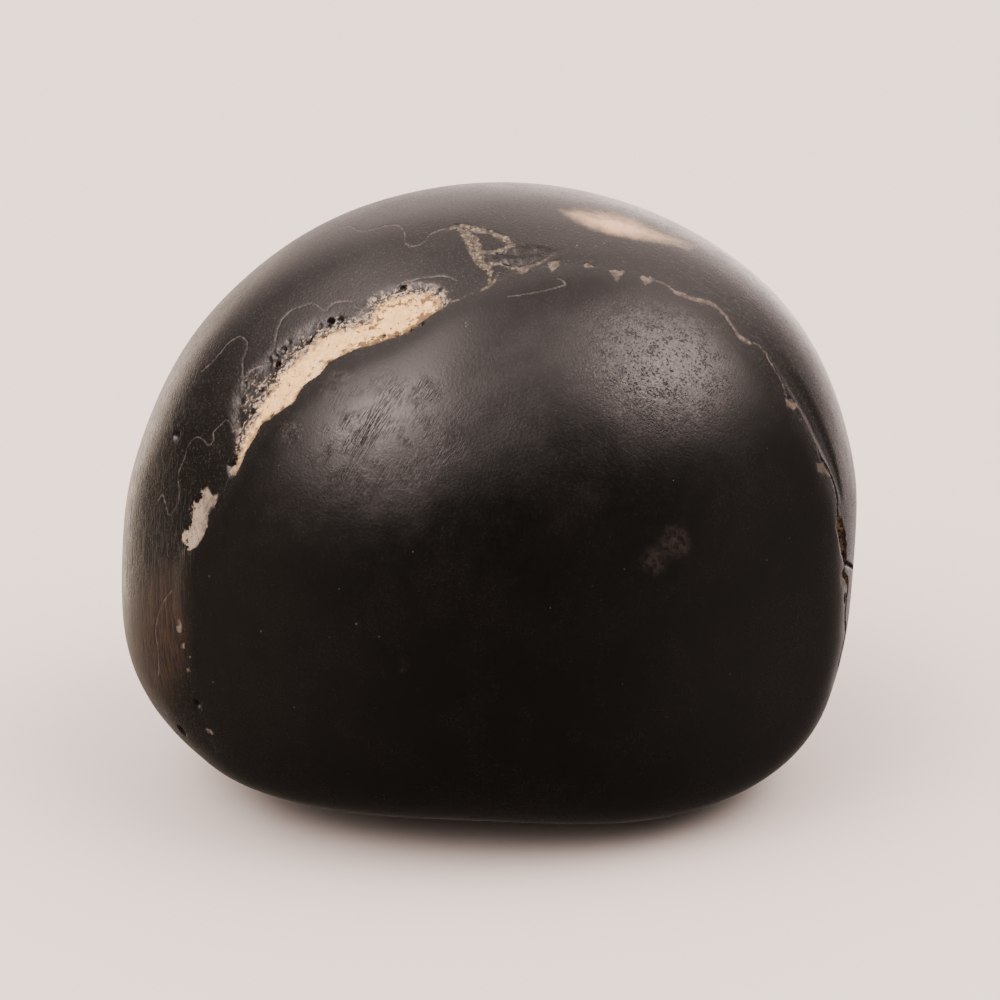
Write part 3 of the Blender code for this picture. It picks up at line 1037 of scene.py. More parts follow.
@dataclass(frozen=True)
class Pebbling:
    """Sandpapery grain with dark pits, as on worn leather, and pale flecks of painted highlight where the
    highlights fall.
    """

    painted_glint_fleck: Tone = (0.105, 0.088, 0.080)
    grain_size: float = 0.34
    grain_height: float = 0.05
    pit_depth: float = 0.06
    patch_size: float = 1.3

    def lay(self, skin: Skin) -> None:
        """Roughen and pit the skin, and paint pale highlight flecks on it."""
        shader = skin.shader
        pebbles = shader.read(Field.PEBBLES)
        share = pebbles.most(shader.read(Field.SCUFF) * 0.7)
        grain = skin.noise(self.grain_size, 2.0, 0.75)
        patchy = grain + (skin.noise(self.patch_size, 2.0, 0.65) - 0.5) * 0.6
        # Painted highlight: pale flecks over the highlight areas, which also brighten them
        pale = patchy.rise(0.50, 0.70) * share
        pits = patchy.fall(0.32, 0.42) * pebbles
        skin.colour = shader.mix(pale * 0.55, skin.colour, self.painted_glint_fleck)
        skin.height = skin.height + grain * share * self.grain_height - pits * self.pit_depth
        skin.roughness = skin.roughness + pits * 0.30 + (0.5 - grain) * share * 0.3


@dataclass(frozen=True)
class CalciteFinish:
    """Creamy, sugary calcite with brown stained pores.

    Sizes are in mm. It turns dull to the left, is broken and grimy in its thin lower end,
    and is more stained near its right end, each over a range along the stone's right.
    """

    light: Tone = (0.97, 0.64, 0.24)
    warm: Tone = (0.74, 0.47, 0.18)
    cloud: Tone = (0.68, 0.54, 0.36)
    dull: Tone = (0.27, 0.235, 0.19)
    grime: Tone = (0.065, 0.058, 0.050)
    stain: Tone = (0.09, 0.045, 0.018)
    soot: Tone = (0.02, 0.015, 0.011)
    ragged_size: float = 1.5
    tone_size: float = 2.0
    patch_size: float = 1.0
    pore_size: float = 0.8
    sugar_size: float = 0.55
    soot_size: float = 0.45
    fine_size: float = 0.32
    dull_range: tuple[float, float] = (-32.5, -29.5)
    tail_start: tuple[float, float] = (-36.5, -35.5)
    stained_range: tuple[float, float] = (-19.0, -14.0)

    def lay(self, skin: Skin) -> None:
        """Fill the seam."""
        shader, x = skin.shader, skin.along(RIGHT)
        banded = shader.read(Field.BAND).rise(-1.2, -0.1)
        outer = x.fall(*self.dull_range)
        tail = x.rise(*self.tail_start) * outer
        reach = banded * 1.0 + outer + 2.1
        depth = skin.depth_in(Field.CALCITE, self.ragged_size, 4.0, 0.72, reach)
        depth = depth - banded * 0.2 - outer * 0.15
        tone = skin.noise(self.tone_size, 3.0, 0.6)
        fine = skin.noise(self.fine_size, 2.0, 0.6)
        sugar = shader.cells(skin.place, self.sugar_size)
        colour = shader.mix(tone.rise(0.42, 0.68) * 0.8, self.light, self.warm)
        colour = shader.mix(tone.fall(0.34, 0.46) * 0.6, colour, self.cloud)
        colour = shader.mix(sugar.rise(0.35, 0.75) * 0.25, colour, self.dull)
        colour = shader.mix((depth.fall(0.0, 0.6) * 0.5).most(outer * 0.95), colour, self.dull)
        patches = skin.noise(self.patch_size, 2.0, 0.6)
        grime = outer * patches.fall(0.40, 0.54) * 0.3 + tail * patches.rise(0.40, 0.56) * 0.75
        colour = shader.mix(grime.least(0.85), colour, self.grime)
        rim = depth.fall(0.1, 1.3) * patches.rise(0.42, 0.58)
        low_end = shader.read(Field.CALCITE).fall(0.3, 2.2) * x.rise(*self.stained_range)
        pores = skin.noise(self.pore_size, 3.0, 0.7) + low_end * (1.0 - banded) * 0.19
        pores = pores.rise(0.60, 0.69)
        stained = (rim * (0.9 - (banded * 0.5).most(outer * 0.7))).most(pores * 0.9)
        colour = shader.mix(stained, colour, self.stain)
        colour = shader.mix(skin.noise(self.soot_size, 1.0, 0.5).rise(0.70, 0.75) * 0.9, colour, self.soot)
        height = sugar * -0.12 + fine * 0.05 - pores * 0.12
        skin.cover(depth.rise(-0.12, 0.16), colour, 0.45 + fine * 0.2, height)


@dataclass(frozen=True)
class BandFinish:
    """Grey and tan filling that shows through broken black skin. Sizes are in mm."""

    tan: Tone = (0.30, 0.25, 0.195)
    grey: Tone = (0.026, 0.024, 0.022)
    dark: Tone = (0.004, 0.0036, 0.003)
    crystal: Tone = (0.42, 0.34, 0.25)
    ragged_size: float = 2.2
    pattern_size: float = 1.3
    break_size: float = 0.7
    crystal_size: float = 0.55

    def lay(self, skin: Skin) -> None:
        """Break up the skin above the calcite."""
        shader = skin.shader
        share = skin.depth_in(Field.BAND, self.ragged_size, 4.0, 0.65, 2.4).rise(-0.2, 1.3)
        pattern = skin.noise(self.pattern_size, 4.0, 0.74)
        near_calcite = shader.read(Field.CALCITE).rise(-1.7, -0.1)
        crystals = skin.noise(self.crystal_size, 2.0, 0.7)
        colour = shader.mix(pattern.rise(0.42, 0.56), self.dark, self.grey)
        colour = shader.mix((pattern + near_calcite * 0.06).rise(0.56, 0.66), colour, self.tan)
        colour = shader.mix(skin.noise(self.break_size, 3.0, 0.7).rise(0.52, 0.6), colour, self.dark)
        crystalline = (crystals + near_calcite * 0.16 - 0.05).rise(0.58, 0.68)
        colour = shader.mix(crystalline, colour, self.crystal)
        height = pattern * 0.14 + crystals * 0.08
        inner = near_calcite * shader.read(Field.BAND).rise(-1.6, -0.5)
        skin.cover(share.most(inner) * 0.9, colour, 0.42, height)


@dataclass(frozen=True)
class TanFilling:
    """Tan filling of the seam line, its teeth and its knots, dimmer far to the right."""

    light: Tone = (0.135, 0.110, 0.084)
    dull: Tone = (0.045, 0.036, 0.028)
    ragged_size: float = 0.7
    tone_size: float = 0.8
    dim_range: tuple[float, float] = (38.0, 43.0)

    def lay(self, skin: Skin) -> None:
        """Fill the line and its teeth."""
        shader = skin.shader
        depth = skin.depth_in(Field.TAN, self.ragged_size, 3.0, 0.7, 0.95)
        tone = skin.noise(self.tone_size, 3.0, 0.7)
        dim = skin.along(RIGHT).rise(*self.dim_range) * 0.75
        colour = shader.mix(tone.rise(0.42, 0.60) * (1.0 - dim), self.dull, self.light)
        skin.cover(depth.rise(-0.12, 0.12) * 0.9, colour, 0.42, tone * 0.05)


@dataclass(frozen=True)
class Hairlines:
    """Grey-tan hairlines of the sutures."""

    tone: Tone = (0.085, 0.078, 0.070)
    ragged_size: float = 0.8
    break_size: float = 2.6

    def lay(self, skin: Skin) -> None:
        """Draw the hairlines, broken here and there."""
        depth = skin.depth_in(Field.HAIRLINE, self.ragged_size, 2.0, 0.6, 0.20)
        broken = skin.noise(self.break_size, 3.0, 0.7).rise(0.40, 0.58)
        skin.cover(depth.rise(-0.08, 0.05) * (0.35 + broken * 0.6), self.tone, 0.36, skin.height)


@dataclass(frozen=True)
class NetFinish:
    """Tan granular net with dark meshes."""

    tan: Tone = (0.23, 0.195, 0.13)
    dark: Tone = (0.016, 0.013, 0.008)
    ragged_size: float = 1.0
    lump_size: float = 0.55
    grain_size: float = 0.6

    def lay(self, skin: Skin) -> None:
        """Lay the net."""
        shader = skin.shader
        depth = skin.depth_in(Field.NET, self.ragged_size, 3.0, 0.6, 0.9)
        lumps = shader.cells(skin.place, self.lump_size).fall(0.25, 0.65)
        grain = skin.noise(self.grain_size, 3.0, 0.72)
        colour = shader.mix(grain.rise(0.40, 0.62) * (lumps * 0.6 + 0.4), self.dark, self.tan)
        skin.cover(depth.rise(-0.12, 0.16) * 0.95, colour, 0.42, lumps * 0.09 + grain * 0.05)


@dataclass(frozen=True)
class OvalFinish:
    """The flat cream oval near the top right, which fades at both ends."""

    cream: Tone = (0.80, 0.55, 0.33)
    grey: Tone = (0.38, 0.265, 0.175)
    ragged_size: float = 1.8
    tone_size: float = 3.0
    right_fade: tuple[float, float] = (18.0, 28.0)
    left_fade: tuple[float, float] = (9.0, 14.5)

    def lay(self, skin: Skin) -> None:
        """Lay the oval."""
        x = skin.along(RIGHT)
        depth = skin.depth_in(Field.OVAL, self.ragged_size, 4.0, 0.7, 0.9)
        tone = skin.noise(self.tone_size, 4.0, 0.65)
        colour = skin.shader.mix(tone.rise(0.38, 0.66), self.cream, self.grey)
        fade = (x.fall(*self.right_fade) * 0.7 + 0.3) * (x.rise(*self.left_fade) * 0.5 + 0.5)
        share = depth.rise(-0.5, 1.1) * fade
        skin.cover(share * (0.72 + 0.28 * tone.rise(0.3, 0.6)), colour, 0.42, tone * 0.012)


@dataclass(frozen=True)
class PaintedHoleShadeAndEarth:
    """Painted shade in deep pits and cracks, and brown earth held in the crack."""

    # The painted shade colour of pits and cracks
    shade: Tone = (0.003, 0.0025, 0.002)
    earth: Tone = (0.16, 0.085, 0.03)
    crumb_size: float = 0.9

    def lay(self, skin: Skin) -> None:
        """Paint shade into the deep pits and cracks, and lay earth in the crack."""
        painted_hole_shade = skin.shader.read(Field.PAINTED_HOLE_SHADE).rise(0.25, 0.8)
        skin.cover(painted_hole_shade * 0.9, self.shade, 0.4, 0.0)
        crumbs = skin.noise(self.crumb_size, 4.0, 0.7)
        share = skin.shader.read(Field.EARTH).rise(-0.1, 0.45) * crumbs.rise(0.42, 0.6)
        skin.cover(share * 0.85, self.earth, 0.7, crumbs * 0.1)


@dataclass(frozen=True)
class BrownSide:
    """The brownish, vertically streaked colour low on the left side: partly wear, partly a painted
    reflection of the warm floor.
    """

    brown: Tone = (0.040, 0.021, 0.011)
    black: Tone = (0.012, 0.009, 0.007)
    streak_length: float = 9.0
    streak_width: float = 0.55

    def lay(self, skin: Skin, sheet: Sheet) -> None:
        """Stain and streak the side, partly as a painted reflection of the warm floor.

        Args:
            skin: the skin so far.
            sheet: the sheet whose up the streaks follow.
        """
        shader = skin.shader
        right, up, away = sheet.axes
        drawn_out = shader.vector(
            skin.along(up) / self.streak_length,
            skin.along(away) / self.streak_width,
            skin.along(right) / self.streak_width,
        )
        streaks = shader.noise(drawn_out, 1.0, 3.0, 0.6)
        # Partly painted reflection: brown where the low left side mirrors the warm floor
        colour = shader.mix(streaks.rise(0.35, 0.65), self.black, self.brown)
        share = shader.read(Field.BROWN) * 0.8
        skin.cover(share, colour, 0.34 + streaks * 0.12, skin.height + streaks * 0.02)


@dataclass(frozen=True)
class WornSpots:
    """Paler, matt spots where the polish is rubbed off."""

    grey: Tone = (0.021, 0.0165, 0.0135)
    dust_size: float = 0.8

    def lay(self, skin: Skin) -> None:
        """Rub the polish off."""
        dust = skin.noise(self.dust_size, 4.0, 0.7).rise(0.30, 0.75)
        skin.cover(skin.shader.read(Field.WORN) * dust, self.grey, 0.4, skin.height)


@dataclass
class Stone:
    """The whole stone: its body, the sheet its marks are drawn on, and the marks."""

    body: Body = field(default_factory=Body)
    start_level: int = 7
    plain_edge: float = 0.95
    split_ratio: float = 1.3
    refine_passes: int = 3
    wave_size: float = 19.0
    wave_height: float = 0.22
    ripple_size: float = 3.4
    ripple_height: float = 0.014
    line_gap: float = 0.12
    hairline: float = 0.09
    faint_hairline: float = 0.03
    rubbed_gain: float = 3.0
    spot_gain: float = 20.0
    edge_gain: float = 2.5
    edge_margin: float = 0.4
    bend: float = 1.45
    sheet: Sheet = field(init=False)
    marks: list[Mark] = field(init=False)

    def __post_init__(self) -> None:
        """Draw the marks."""
        self.sheet = Sheet(self.body)
        self.marks = [
            Seam(), Calcite(), PittedBand(), Net(), *self._cracks(), *self._hollow(), self._pits(),
            self._tan_lines(), self._teeth(), self._sutures(), self._specks(), self._oval(),
            *self._soft_areas(),
        ]

    def _soft_areas(self) -> tuple[SoftArea, ...]:
        """The sandpapery place, the brown side, the matt spots and the scuffs."""
        return (
            # PEBBLES and SCUFF lie where the two highlights fall, and carry painted highlight flecks
            SoftArea(Field.PEBBLES, (
                (21.0, 18.0, 14.0, 11.0, -30.0, 0.6), (20.4, 16.5, 6.5, 5.0, -20.0, 1.0),
            )),
            SoftArea(Field.BROWN, ((-47.5, -19.5, 5.5, 12.0, -10.0, 1.0),)),
            SoftArea(Field.WORN, (
                (23.8, -5.7, 2.4, 2.6, 0.0, 1.0), (21.0, -8.4, 2.0, 2.4, 0.0, 0.8),
                (-13.2, -22.6, 0.45, 0.95, 0.0, 1.0),
            )),
            SoftArea(Field.SCUFF, (
                (-15.6, 8.1, 14.0, 11.0, 30.0, 0.4), (-19.8, 9.0, 5.0, 3.4, 20.0, 1.0),
                (-28.0, 9.8, 2.4, 2.6, 0.0, 0.9), (-9.2, 14.7, 2.4, 2.0, 0.0, 0.9),
                (-22.3, 16.2, 3.0, 2.2, 20.0, 0.8),
            )),
        )

    def _cracks(self) -> tuple[Groove, ...]:
        """The crack at the right, one in the oval, and the hollow that follows the seam's right."""
        return (
            Groove((
                (46.0, -2.3, 0.20, 0.3), (46.3, -3.5, 0.70, 1.6), (46.7, -5.0, 0.85, 2.2),
                (47.0, -6.8, 0.80, 2.0), (47.2, -8.5, 0.40, 1.0), (46.8, -10.0, 0.30, 0.6),
                (47.5, -10.9, 0.35, 0.6), (47.6, -12.3, 0.35, 0.6), (47.3, -13.8, 0.40, 0.7),
                (47.1, -16.0, 0.30, 0.5), (47.3, -18.2, 0.30, 0.5), (46.4, -21.6, 0.30, 0.4),
                (46.2, -23.4, 0.25, 0.3), (45.5, -25.6, 0.20, 0.1),
            ), 0.2, earth=True, roughness=0.5),
            Groove((
                (47.2, -8.6, 0.25, 0.5), (48.0, -9.0, 0.25, 0.4), (48.5, -9.3, 0.20, 0.1),
            ), 0.2, gap=0.03),
            Groove(((14.2, 39.4, 0.12, 0.08), (15.5, 38.4, 0.14, 0.12), (17.1, 36.7, 0.12, 0.08)), 0.2),
            Groove((
                (43.9, 5.6, 0.15, 0.15), (45.4, 3.4, 0.18, 0.25), (46.0, 1.4, 0.20, 0.3),
                (46.0, -2.3, 0.20, 0.3),
            ), 0.2),
            Groove((
                (35.3, 22.9, 0.8, 0.03), (38.9, 17.9, 1.4, 0.14), (41.9, 13.2, 1.6, 0.22),
                (44.2, 8.4, 1.5, 0.22), (45.8, 4.4, 1.1, 0.18), (46.8, 0.6, 0.6, 0.08),
            ), 0.5, dark=False),
        )

    def _hollow(self) -> tuple[Groove, ...]:
        """The small hollow on top: a wall that faces the front, and a deeper foot."""
        return (
            Groove((
                (-1.0, 34.1, 0.6, 0.25), (1.0, 34.0, 1.0, 0.5), (3.2, 33.9, 1.1, 0.55),
                (5.4, 34.0, 0.9, 0.35), (7.4, 34.2, 0.5, 0.1),
            ), 0.35, roughness=0.3, dark=False),
            Groove((
                (-1.0, 33.4, 0.4, 0.2), (0.8, 33.2, 0.6, 0.6), (2.8, 33.1, 0.6, 0.65),
                (4.8, 33.4, 0.5, 0.35), (6.4, 33.9, 0.3, 0.1),
            ), 0.3, roughness=0.5, dark=False),
        )

    def _pits(self) -> Pits:
        """Small pits of the front, of the calcite's edge and of the unseen sides."""
        drawn = (
            (-44.4, 8.8, 0.8, 0.5), (-41.3, -28.0, 0.7, 0.7), (-43.6, -31.6, 0.8, 0.7),
            (47.0, -13.4, 0.6, 0.8),
            (-32.0, 11.9, 0.7, 0.6), (-29.9, 16.4, 0.3, 0.35), (-22.0, 24.2, 0.3, 0.3),
            (-17.4, 25.1, 0.35, 0.35), (-19.0, 22.9, 0.3, 0.3), (-12.9, 25.8, 0.3, 0.3),
            (-16.4, 23.3, 0.45, 0.5), (-14.4, 23.1, 0.5, 0.5), (-12.5, 23.4, 0.4, 0.45),
            (-10.9, 24.2, 0.35, 0.4), (-30.5, 12.9, 0.45, 0.5), (-28.7, 13.9, 0.4, 0.45),
            (-27.1, 22.6, 0.6, 0.7), (-31.5, 19.2, 0.6, 0.7), (-23.9, 25.3, 0.5, 0.6),
            (-13.6, 29.8, 0.5, 0.5),
        )
        far = (
            (0.35, 0.85, 0.35, 1.6, 0.7), (-0.62, 0.70, -0.15, 1.1, 0.6), (0.82, 0.55, 0.10, 0.9, 0.5),
        )
        near_rows, far_rows = np.array(drawn), np.array(far)
        middle = np.array(self.body.middle)
        centres = np.concatenate((
            self.sheet.lift(near_rows[:, :2]),
            self.body.onto(middle + far_rows[:, :3] * self.body.front),
        ))
        return Pits(centres, tuple(map(tuple, np.concatenate((near_rows[:, 2:], far_rows[:, 3:])))))

    def _tan_lines(self) -> Lines:
        """The tan line of the seam, as runs from the net to the crack with their half widths."""
        runs = (
            (0.20, ((3.0, 31.7), (4.2, 32.3), (5.4, 32.7), (6.6, 33.5))),
            (0.16, ((20.6, 30.3), (21.6, 29.9), (22.7, 29.4), (23.8, 28.3))),
            (0.34, ((23.8, 28.3), (25.1, 27.9), (26.8, 27.4), (28.1, 27.2), (29.3, 26.7))),
            (0.17, ((29.3, 26.7), (30.0, 26.1), (30.8, 25.2), (31.6, 23.9), (32.4, 22.9))),
            (0.34, ((32.4, 22.6), (33.3, 21.9), (34.2, 21.6))),
            (0.12, (
                (34.2, 21.6), (35.2, 21.4), (36.2, 20.4), (37.1, 18.7), (38.1, 17.2), (38.7, 16.0),
                (39.1, 14.4),
            )),
            (0.05, ((41.0, 12.8), (42.3, 11.4), (43.2, 9.6), (43.4, 7.5), (43.8, 5.7))),
        )
        paths = [self.sheet.lift(along(places, self.line_gap)) for _, places in runs]
        return Lines(Field.TAN, paths, [half for half, _ in runs], 0.06)

    def _teeth(self) -> Spots:
        """Teeth, knots and small lumps on the tan line and low on the left."""
        return Spots(Field.TAN, (
            ((2.3, 31.9), (2.7, 32.2), (4.1, 32.2), (3.8, 31.6), (3.0, 31.1)),
            ((6.5, 32.8), (7.5, 33.0), (8.4, 33.0), (8.0, 32.3), (7.5, 31.6), (7.1, 31.3), (6.8, 32.0)),
            ((11.3, 32.3), (12.2, 32.4), (12.8, 32.0), (11.9, 31.8)),
            ((15.0, 31.4), (16.0, 31.4), (17.0, 31.2), (16.4, 30.4), (15.9, 29.7), (15.5, 30.5)),
            ((19.1, 30.5), (20.1, 30.5), (20.9, 30.2), (20.6, 29.7), (19.8, 29.4), (19.3, 29.9)),
            ((39.1, 14.0), (40.3, 13.7), (41.1, 12.9), (40.2, 12.4), (39.1, 13.0)),
            ((43.2, 5.0), (44.5, 5.2), (45.7, 3.5), (43.4, 3.8)),
            ((46.3, -10.1), (47.4, -10.5), (47.5, -11.9), (46.5, -11.6)),
            ((-44.2, -16.4), (-43.7, -16.3), (-43.4, -17.2), (-43.6, -18.2), (-44.0, -18.1), (-44.2, -17.2)),
            ((-43.5, -19.6), (-43.0, -19.5), (-43.0, -20.2), (-43.4, -20.2)),
            ((-42.9, -22.9), (-42.3, -22.8), (-42.3, -23.4), (-42.8, -23.4)),
            ((-40.3, -31.2), (-39.5, -31.4), (-39.2, -32.0), (-40.0, -31.8)),
        ), 0.06)

    def _specks(self) -> Lines:
        """Pale specks, each a place on the sheet and a radius."""
        specks = np.array((
            (10.6, 35.0, 0.14), (13.2, 34.9, 0.16), (14.3, 35.3, 0.14), (-39.2, -10.3, 0.15),
            (-23.1, -18.6, 0.11), (-16.4, -18.5, 0.11), (-19.5, -16.8, 0.10), (-32.4, -17.8, 0.11),
            (-4.6, 23.9, 0.13), (-4.6, 23.4, 0.12), (-42.1, -21.3, 0.16), (-38.8, -24.6, 0.14),
            (41.3, 11.1, 0.16),
        ))
        points = self.sheet.lift(specks[:, :2])
        return Lines(Field.HAIRLINE, [point[None] for point in points], specks[:, 2], 0.02)

    def _sutures(self) -> Lines:
        """Hairlines of the sutures: drawn in front, the last of them faint, and wavy behind."""
        drawn = (
            ((-40.7, 17.5), (-39.5, 18.5), (-38.0, 20.2), (-36.6, 21.7), (-35.2, 22.3), (-34.9, 22.0),
             (-35.6, 19.0), (-35.6, 17.2), (-34.5, 18.3), (-32.4, 19.3)),
            ((-32.0, 19.4), (-31.5, 21.2), (-30.8, 23.6), (-30.0, 25.1), (-28.6, 26.3), (-27.1, 26.9),
             (-25.9, 27.3), (-25.1, 26.9), (-24.4, 26.5), (-23.3, 27.4), (-21.6, 27.8), (-20.6, 27.7),
             (-20.1, 27.0), (-19.0, 26.9), (-18.2, 27.4)),
            ((-21.9, 36.9), (-20.2, 37.1), (-19.4, 36.6), (-18.2, 36.5), (-16.7, 36.9), (-15.1, 37.3),
             (-13.8, 37.3), (-13.0, 36.5), (-13.0, 35.3), (-12.1, 34.9), (-10.7, 35.4), (-9.5, 36.5),
             (-7.7, 37.2), (-6.2, 37.5)),
            ((-47.4, -0.1), (-46.8, 0.8), (-46.6, -0.1), (-46.0, -2.0), (-45.3, -1.1), (-44.8, 0.5),
             (-44.7, 3.7), (-43.8, 5.8), (-43.0, 7.9), (-41.9, 8.8), (-41.1, 8.3), (-40.7, 7.7),
             (-40.0, 8.3), (-39.9, 9.5), (-39.0, 10.5), (-38.1, 11.3), (-37.5, 10.5), (-37.3, 9.6)),
            ((-13.6, 30.4), (-9.8, 31.1), (-7.7, 31.2), (-6.0, 30.5)),
            ((-45.1, -12.4), (-46.1, -13.7), (-47.0, -16.0), (-47.2, -18.3), (-46.8, -21.0),
             (-46.8, -24.0)),
            ((1.0, 27.6), (3.4, 27.9), (6.1, 28.4), (8.9, 29.2)), ((8.9, 29.2), (8.6, 29.8), (7.8, 30.2)),
            ((25.8, 23.3), (28.5, 23.4), (30.9, 23.3)),
        )
        runs = (
            SutureRun((172, 8), (95, 34), 6.0, 2.6),
            SutureRun((96, 36), (28, 22), 5.0, 2.2, 1.4),
            SutureRun((165, -18), (88, -6), 5.5, 2.4, 2.2),
            SutureRun((70, -20), (12, 2), 4.0, 2.0, 0.7),
            SutureRun((120, 60), (40, 62), 3.0, 1.8, 2.9),
        )
        paths = [self.sheet.lift(along(places, self.line_gap)) for places in drawn]
        paths += [run.path(self.body) for run in runs]
        halves = [self.hairline] * len(paths)
        halves[len(drawn) - 1] = self.faint_hairline
        return Lines(Field.HAIRLINE, paths, halves, 0.04)

    def _oval(self) -> Spots:
        """The cream oval near the top right."""
        upper = (
            (8.1, 39.8), (10.2, 39.75), (12.5, 39.5), (14.9, 39.3), (18.6, 38.1), (21.0, 36.9),
            (27.1, 34.9),
        )
        lower = (
            (25.9, 34.4), (23.5, 35.1), (19.8, 35.6), (17.4, 36.1), (14.9, 36.6), (12.5, 37.4),
            (10.0, 38.5),
        )
        return Spots(Field.OVAL, (upper + lower,), 0.03, edge=0.3)

    def _press(self, points: Array) -> Imprint:
        """Press every mark into the ground.

        Args:
            points: points on the plain body.

        Returns:
            All the marks' heights added up, the shortest wanted edges and the joined fields.
        """
        ground = Ground(self.sheet, points)
        height = np.zeros(len(points))
        edge = np.full(len(points), self.plain_edge)
        fields: Fields = {}
        for mark in self.marks:
            made = mark.imprint(ground)
            height += made.height
            edge = np.minimum(edge, made.edge)
            for name, values in made.fields.items():
                fields[name] = np.maximum(fields[name], values) if name in fields else values
        rubbed = np.maximum(fields[Field.SCUFF.value], fields[Field.PEBBLES.value])
        fields[Field.RUBBED.value] = np.minimum(self.rubbed_gain * rubbed, 1.0)
        spots = [fields[kind.value] for kind in (Field.PAINTED_HOLE_SHADE, Field.BROWN, Field.WORN)]
        marked = self.spot_gain * np.max(spots, axis=0)
        for kind, reach in RAGGED_REACH.items():
            near = self.edge_gain * (fields[kind.value] + reach + self.edge_margin)
            marked = np.maximum(marked, near)
        fields[Field.MARKED.value] = np.clip(marked, 0.0, 1.0)
        return Imprint(height, edge, fields)

    def _on_body(self, mesh: bmesh.types.BMesh) -> tuple[Array, Array]:
        """A mesh's points on the plain body, and their directions from its middle."""
        ways = unit(np.array([vert.co[:] for vert in mesh.verts]))
        return np.array(self.body.middle) + ways * self.body.reach(ways)[:, None], ways

    def _refine(self, mesh: bmesh.types.BMesh) -> None:
        """Split the edges that are too long for what lies there."""
        points, _ = self._on_body(mesh)
        wanted = self._press(points).edge
        mesh.verts.index_update()
        ends = np.array([[vert.index for vert in edge.verts] for edge in mesh.edges])
        lengths = np.linalg.norm(points[ends[:, 0]] - points[ends[:, 1]], axis=1)
        too_long = lengths > self.split_ratio * wanted[ends].min(axis=1)
        long_edges = [edge for edge, split in zip(mesh.edges, too_long) if split]
        bmesh.ops.subdivide_edges(mesh, edges=long_edges, cuts=1)
        cut = [face for face in mesh.faces if len(face.verts) > 3]
        made = bmesh.ops.triangulate(mesh, faces=cut)
        bmesh.ops.beautify_fill(mesh, faces=made["faces"], edges=made["edges"])

    def build(self) -> bpy.types.Object:
        """Make the stone's fine mesh, with its vertex fields.

        Returns:
            The stone.
        """
        mesh = bmesh.new()
        bmesh.ops.create_icosphere(mesh, subdivisions=self.start_level, radius=1.0)
        for _ in range(self.refine_passes):
            self._refine(mesh)
        points, ways = self._on_body(mesh)
        pressed = self._press(points)
        height = pressed.height + self.wave_height * waves(points, self.wave_size, 3.1)
        height += self.ripple_height * waves(points, self.ripple_size, 6.0)
        points = self.body.set_on_ground(points + ways * height[:, None])
        for vert, point in zip(mesh.verts, points * MM):
            vert.co = point
        data = bpy.data.meshes.new("black_stone")
        mesh.to_mesh(data)
        mesh.free()
        data.shade_smooth()
        for name, values in pressed.fields.items():
            layer = data.attributes.new(name, "FLOAT", "POINT")
            layer.data.foreach_set("value", np.clip(values, -FIELD_REACH, FIELD_REACH).astype(np.float32))
        stone = bpy.data.objects.new("shaligram_stone", data)
        bpy.context.scene.collection.objects.link(stone)
        return stone

    def dress(self, stone: bpy.types.Object) -> None:
        """Lay every finish over the stone.

        Args:
            stone: the stone's fine mesh.
        """
        material = bpy.data.materials.new("black_stone_skin")
        shader = Shader(material)
        right, up, _ = self.sheet.axes
        skin = BlackStone().skin(shader)
        shell = shader.read(Field.LOBE).fall(-1.0, 3.0) * 0.8 + 0.2
        fine = Scratches(right * 0.8 - up * 0.5, length=2.4, width=0.15, depth=0.008, amount=(0.60, 0.72))
        fine.lay(skin, shell)
        streaks = Scratches(up, length=3.2, width=0.22, depth=0.016, amount=(0.52, 0.68))
        streaks.lay(skin, skin.along(right).fall(-44.0, -30.0))
        plain = skin.surface(self.bend)
        scuffed = shader.read(Field.SCUFF) * skin.noise(3.4).rise(0.42, 0.60)
        scuffs = Scratches(right * 0.5 + up * 0.87, length=2.0, width=0.115, depth=0.060,
                           amount=(0.50, 0.62), dulling=0.40)
        scuffs.lay(skin, scuffed)
        Pebbling().lay(skin)
        rubbed = skin.surface(self.bend)
        WornSpots().lay(skin)
        BrownSide().lay(skin, self.sheet)
        Hairlines().lay(skin)
        BandFinish().lay(skin)
        NetFinish().lay(skin)
        OvalFinish().lay(skin)
        TanFilling().lay(skin)
        CalciteFinish().lay(skin)
        PaintedHoleShadeAndEarth().lay(skin)
        bare = shader.join(Field.RUBBED, plain, rubbed)
        shader.finish(shader.join(Field.MARKED, bare, skin.surface(self.bend)))
        stone.data.materials.append(material)


@dataclass(frozen=True)
class Glow:
    """A soft light in the surroundings, brightest in its middle.

    azimuth and elevation are in degrees, and sharpness is larger for a smaller glow.
    """

    azimuth: float
    elevation: float
    sharpness: float
    strength: float

    def seen(self, shader: Shader, way: Value) -> Value:
        """How bright it is in a direction."""
        ahead = shader.dot(way, compass(self.azimuth, self.elevation) * self.sharpness)
        return (ahead + (math.log(self.strength) - self.sharpness)).exp()


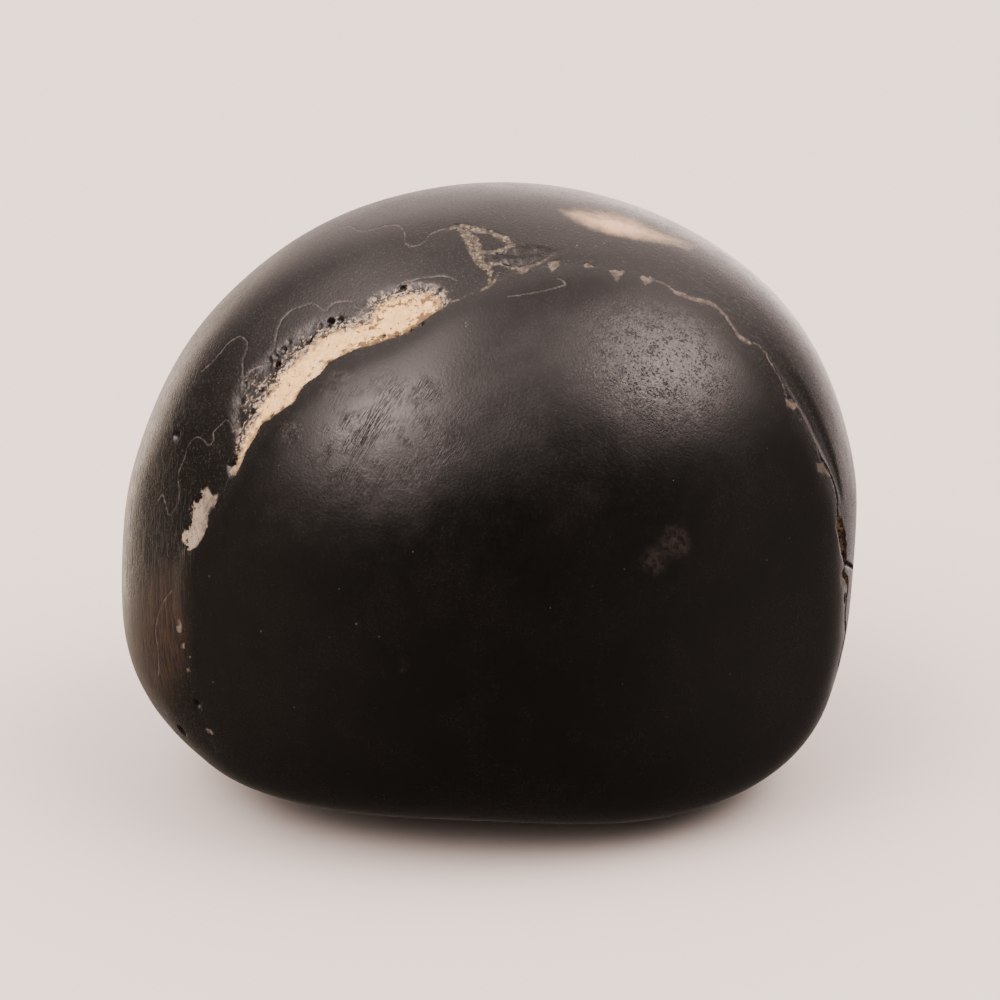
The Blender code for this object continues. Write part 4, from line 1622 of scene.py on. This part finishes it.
@dataclass(frozen=True)
class Studio:
    """The pale floor, the soft light and the camera round the stone."""

    sheet: Sheet
    floor_radius: float = 4.0
    floor_sides: int = 96
    floor_colour: Tone = (0.82, 0.78, 0.74)
    floor_roughness: float = 0.9
    floor_bend: float = 1.3
    high_colour: Tone = (1.0, 0.81, 0.75)
    low_colour: Tone = (1.0, 0.78, 0.62)
    left_window: Glow = Glow(-130, 46, 22, 13.0)
    right_window: Glow = Glow(-28, 54, 20, 11.0)
    far_left: Glow = Glow(-170, 60, 14, 6.0)
    far_right: Glow = Glow(10, 50, 15, 4.0)
    behind: Glow = Glow(90, 40, 6, 2.0)
    right_rim: Glow = Glow(75, 0, 25, 3.5)
    left_rim: Glow = Glow(120, -10, 30, 3.0)
    front_fill: Glow = Glow(-20, -10, 3, 0.3)
    left_fill: Glow = Glow(-160, -10, 3, 0.35)
    least_glow: float = 0.04
    backdrop: Tone = (2.4, 2.2, 2.05)
    lens: float = 100.0
    sensor: float = 36.0
    sight: tuple[float, float] = (0.01, 20.0)

    def build(self) -> None:
        """Set up the floor, the light and the camera."""
        self._floor()
        self._surroundings()
        self._camera()

    def _floor(self) -> None:
        """Lay the pale floor."""
        mesh = bmesh.new()
        bmesh.ops.create_circle(mesh, cap_ends=True, segments=self.floor_sides, radius=self.floor_radius)
        data = bpy.data.meshes.new("floor")
        mesh.to_mesh(data)
        mesh.free()
        floor = bpy.data.objects.new("floor", data)
        bpy.context.scene.collection.objects.link(floor)
        material = bpy.data.materials.new("pale_floor")
        shader = Shader(material)
        shader.finish(shader.node("ShaderNodeBsdfPrincipled", None, {
            "Base Color": self.floor_colour, "Roughness": self.floor_roughness, "IOR": self.floor_bend,
        }))
        data.materials.append(material)
        floor.visible_glossy = False

    def _surroundings(self) -> None:
        """Light the stone from all round, with soft glows, and show a pale backdrop."""
        world = bpy.data.worlds.new("studio")
        shader = Shader(world)
        way = shader.node("ShaderNodeTexCoord", output="Generated")
        windows = (
            self.left_window, self.right_window, self.far_left, self.far_right, self.behind,
            self.right_rim, self.front_fill,
        )
        high = sum((glow.seen(shader, way) for glow in windows), 0.0)
        low = sum((glow.seen(shader, way) for glow in (self.left_rim, self.left_fill)), self.least_glow)
        tones = zip(self.high_colour, self.low_colour)
        shown = shader.vector(*(high * high_part + low * low_part for high_part, low_part in tones))
        seen = shader.node("ShaderNodeLightPath", output="Is Camera Ray")
        colour = shader.mix(seen, shown, self.backdrop)
        shader.finish(shader.node("ShaderNodeBackground", None, {"Color": colour}), "ShaderNodeOutputWorld")
        bpy.context.scene.world = world

    def _camera(self) -> None:
        """Put the camera at the eye that the marks were drawn from."""
        camera = bpy.data.cameras.new("camera")
        camera.lens, camera.sensor_width = self.lens, self.sensor
        camera.clip_start, camera.clip_end = self.sight
        holder = bpy.data.objects.new("camera", camera)
        right, up, away = self.sheet.axes
        turn = Matrix((right, up, -away)).transposed()
        holder.matrix_world = Matrix.Translation(self.sheet.eye * MM) @ turn.to_4x4()
        bpy.context.scene.collection.objects.link(holder)
        bpy.context.scene.camera = holder


def main() -> None:
    """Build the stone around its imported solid, then the studio."""
    logging.basicConfig(level=logging.INFO, format="%(name)s: %(message)s")
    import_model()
    maker = Stone()
    stone = maker.build()
    maker.dress(stone)
    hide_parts(NODE)
    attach(stone, BODY)
    LOG.info("%s: %d triangles", stone.name, len(stone.data.polygons))
    Studio(maker.sheet).build()


if __name__ == "__main__":
    main()
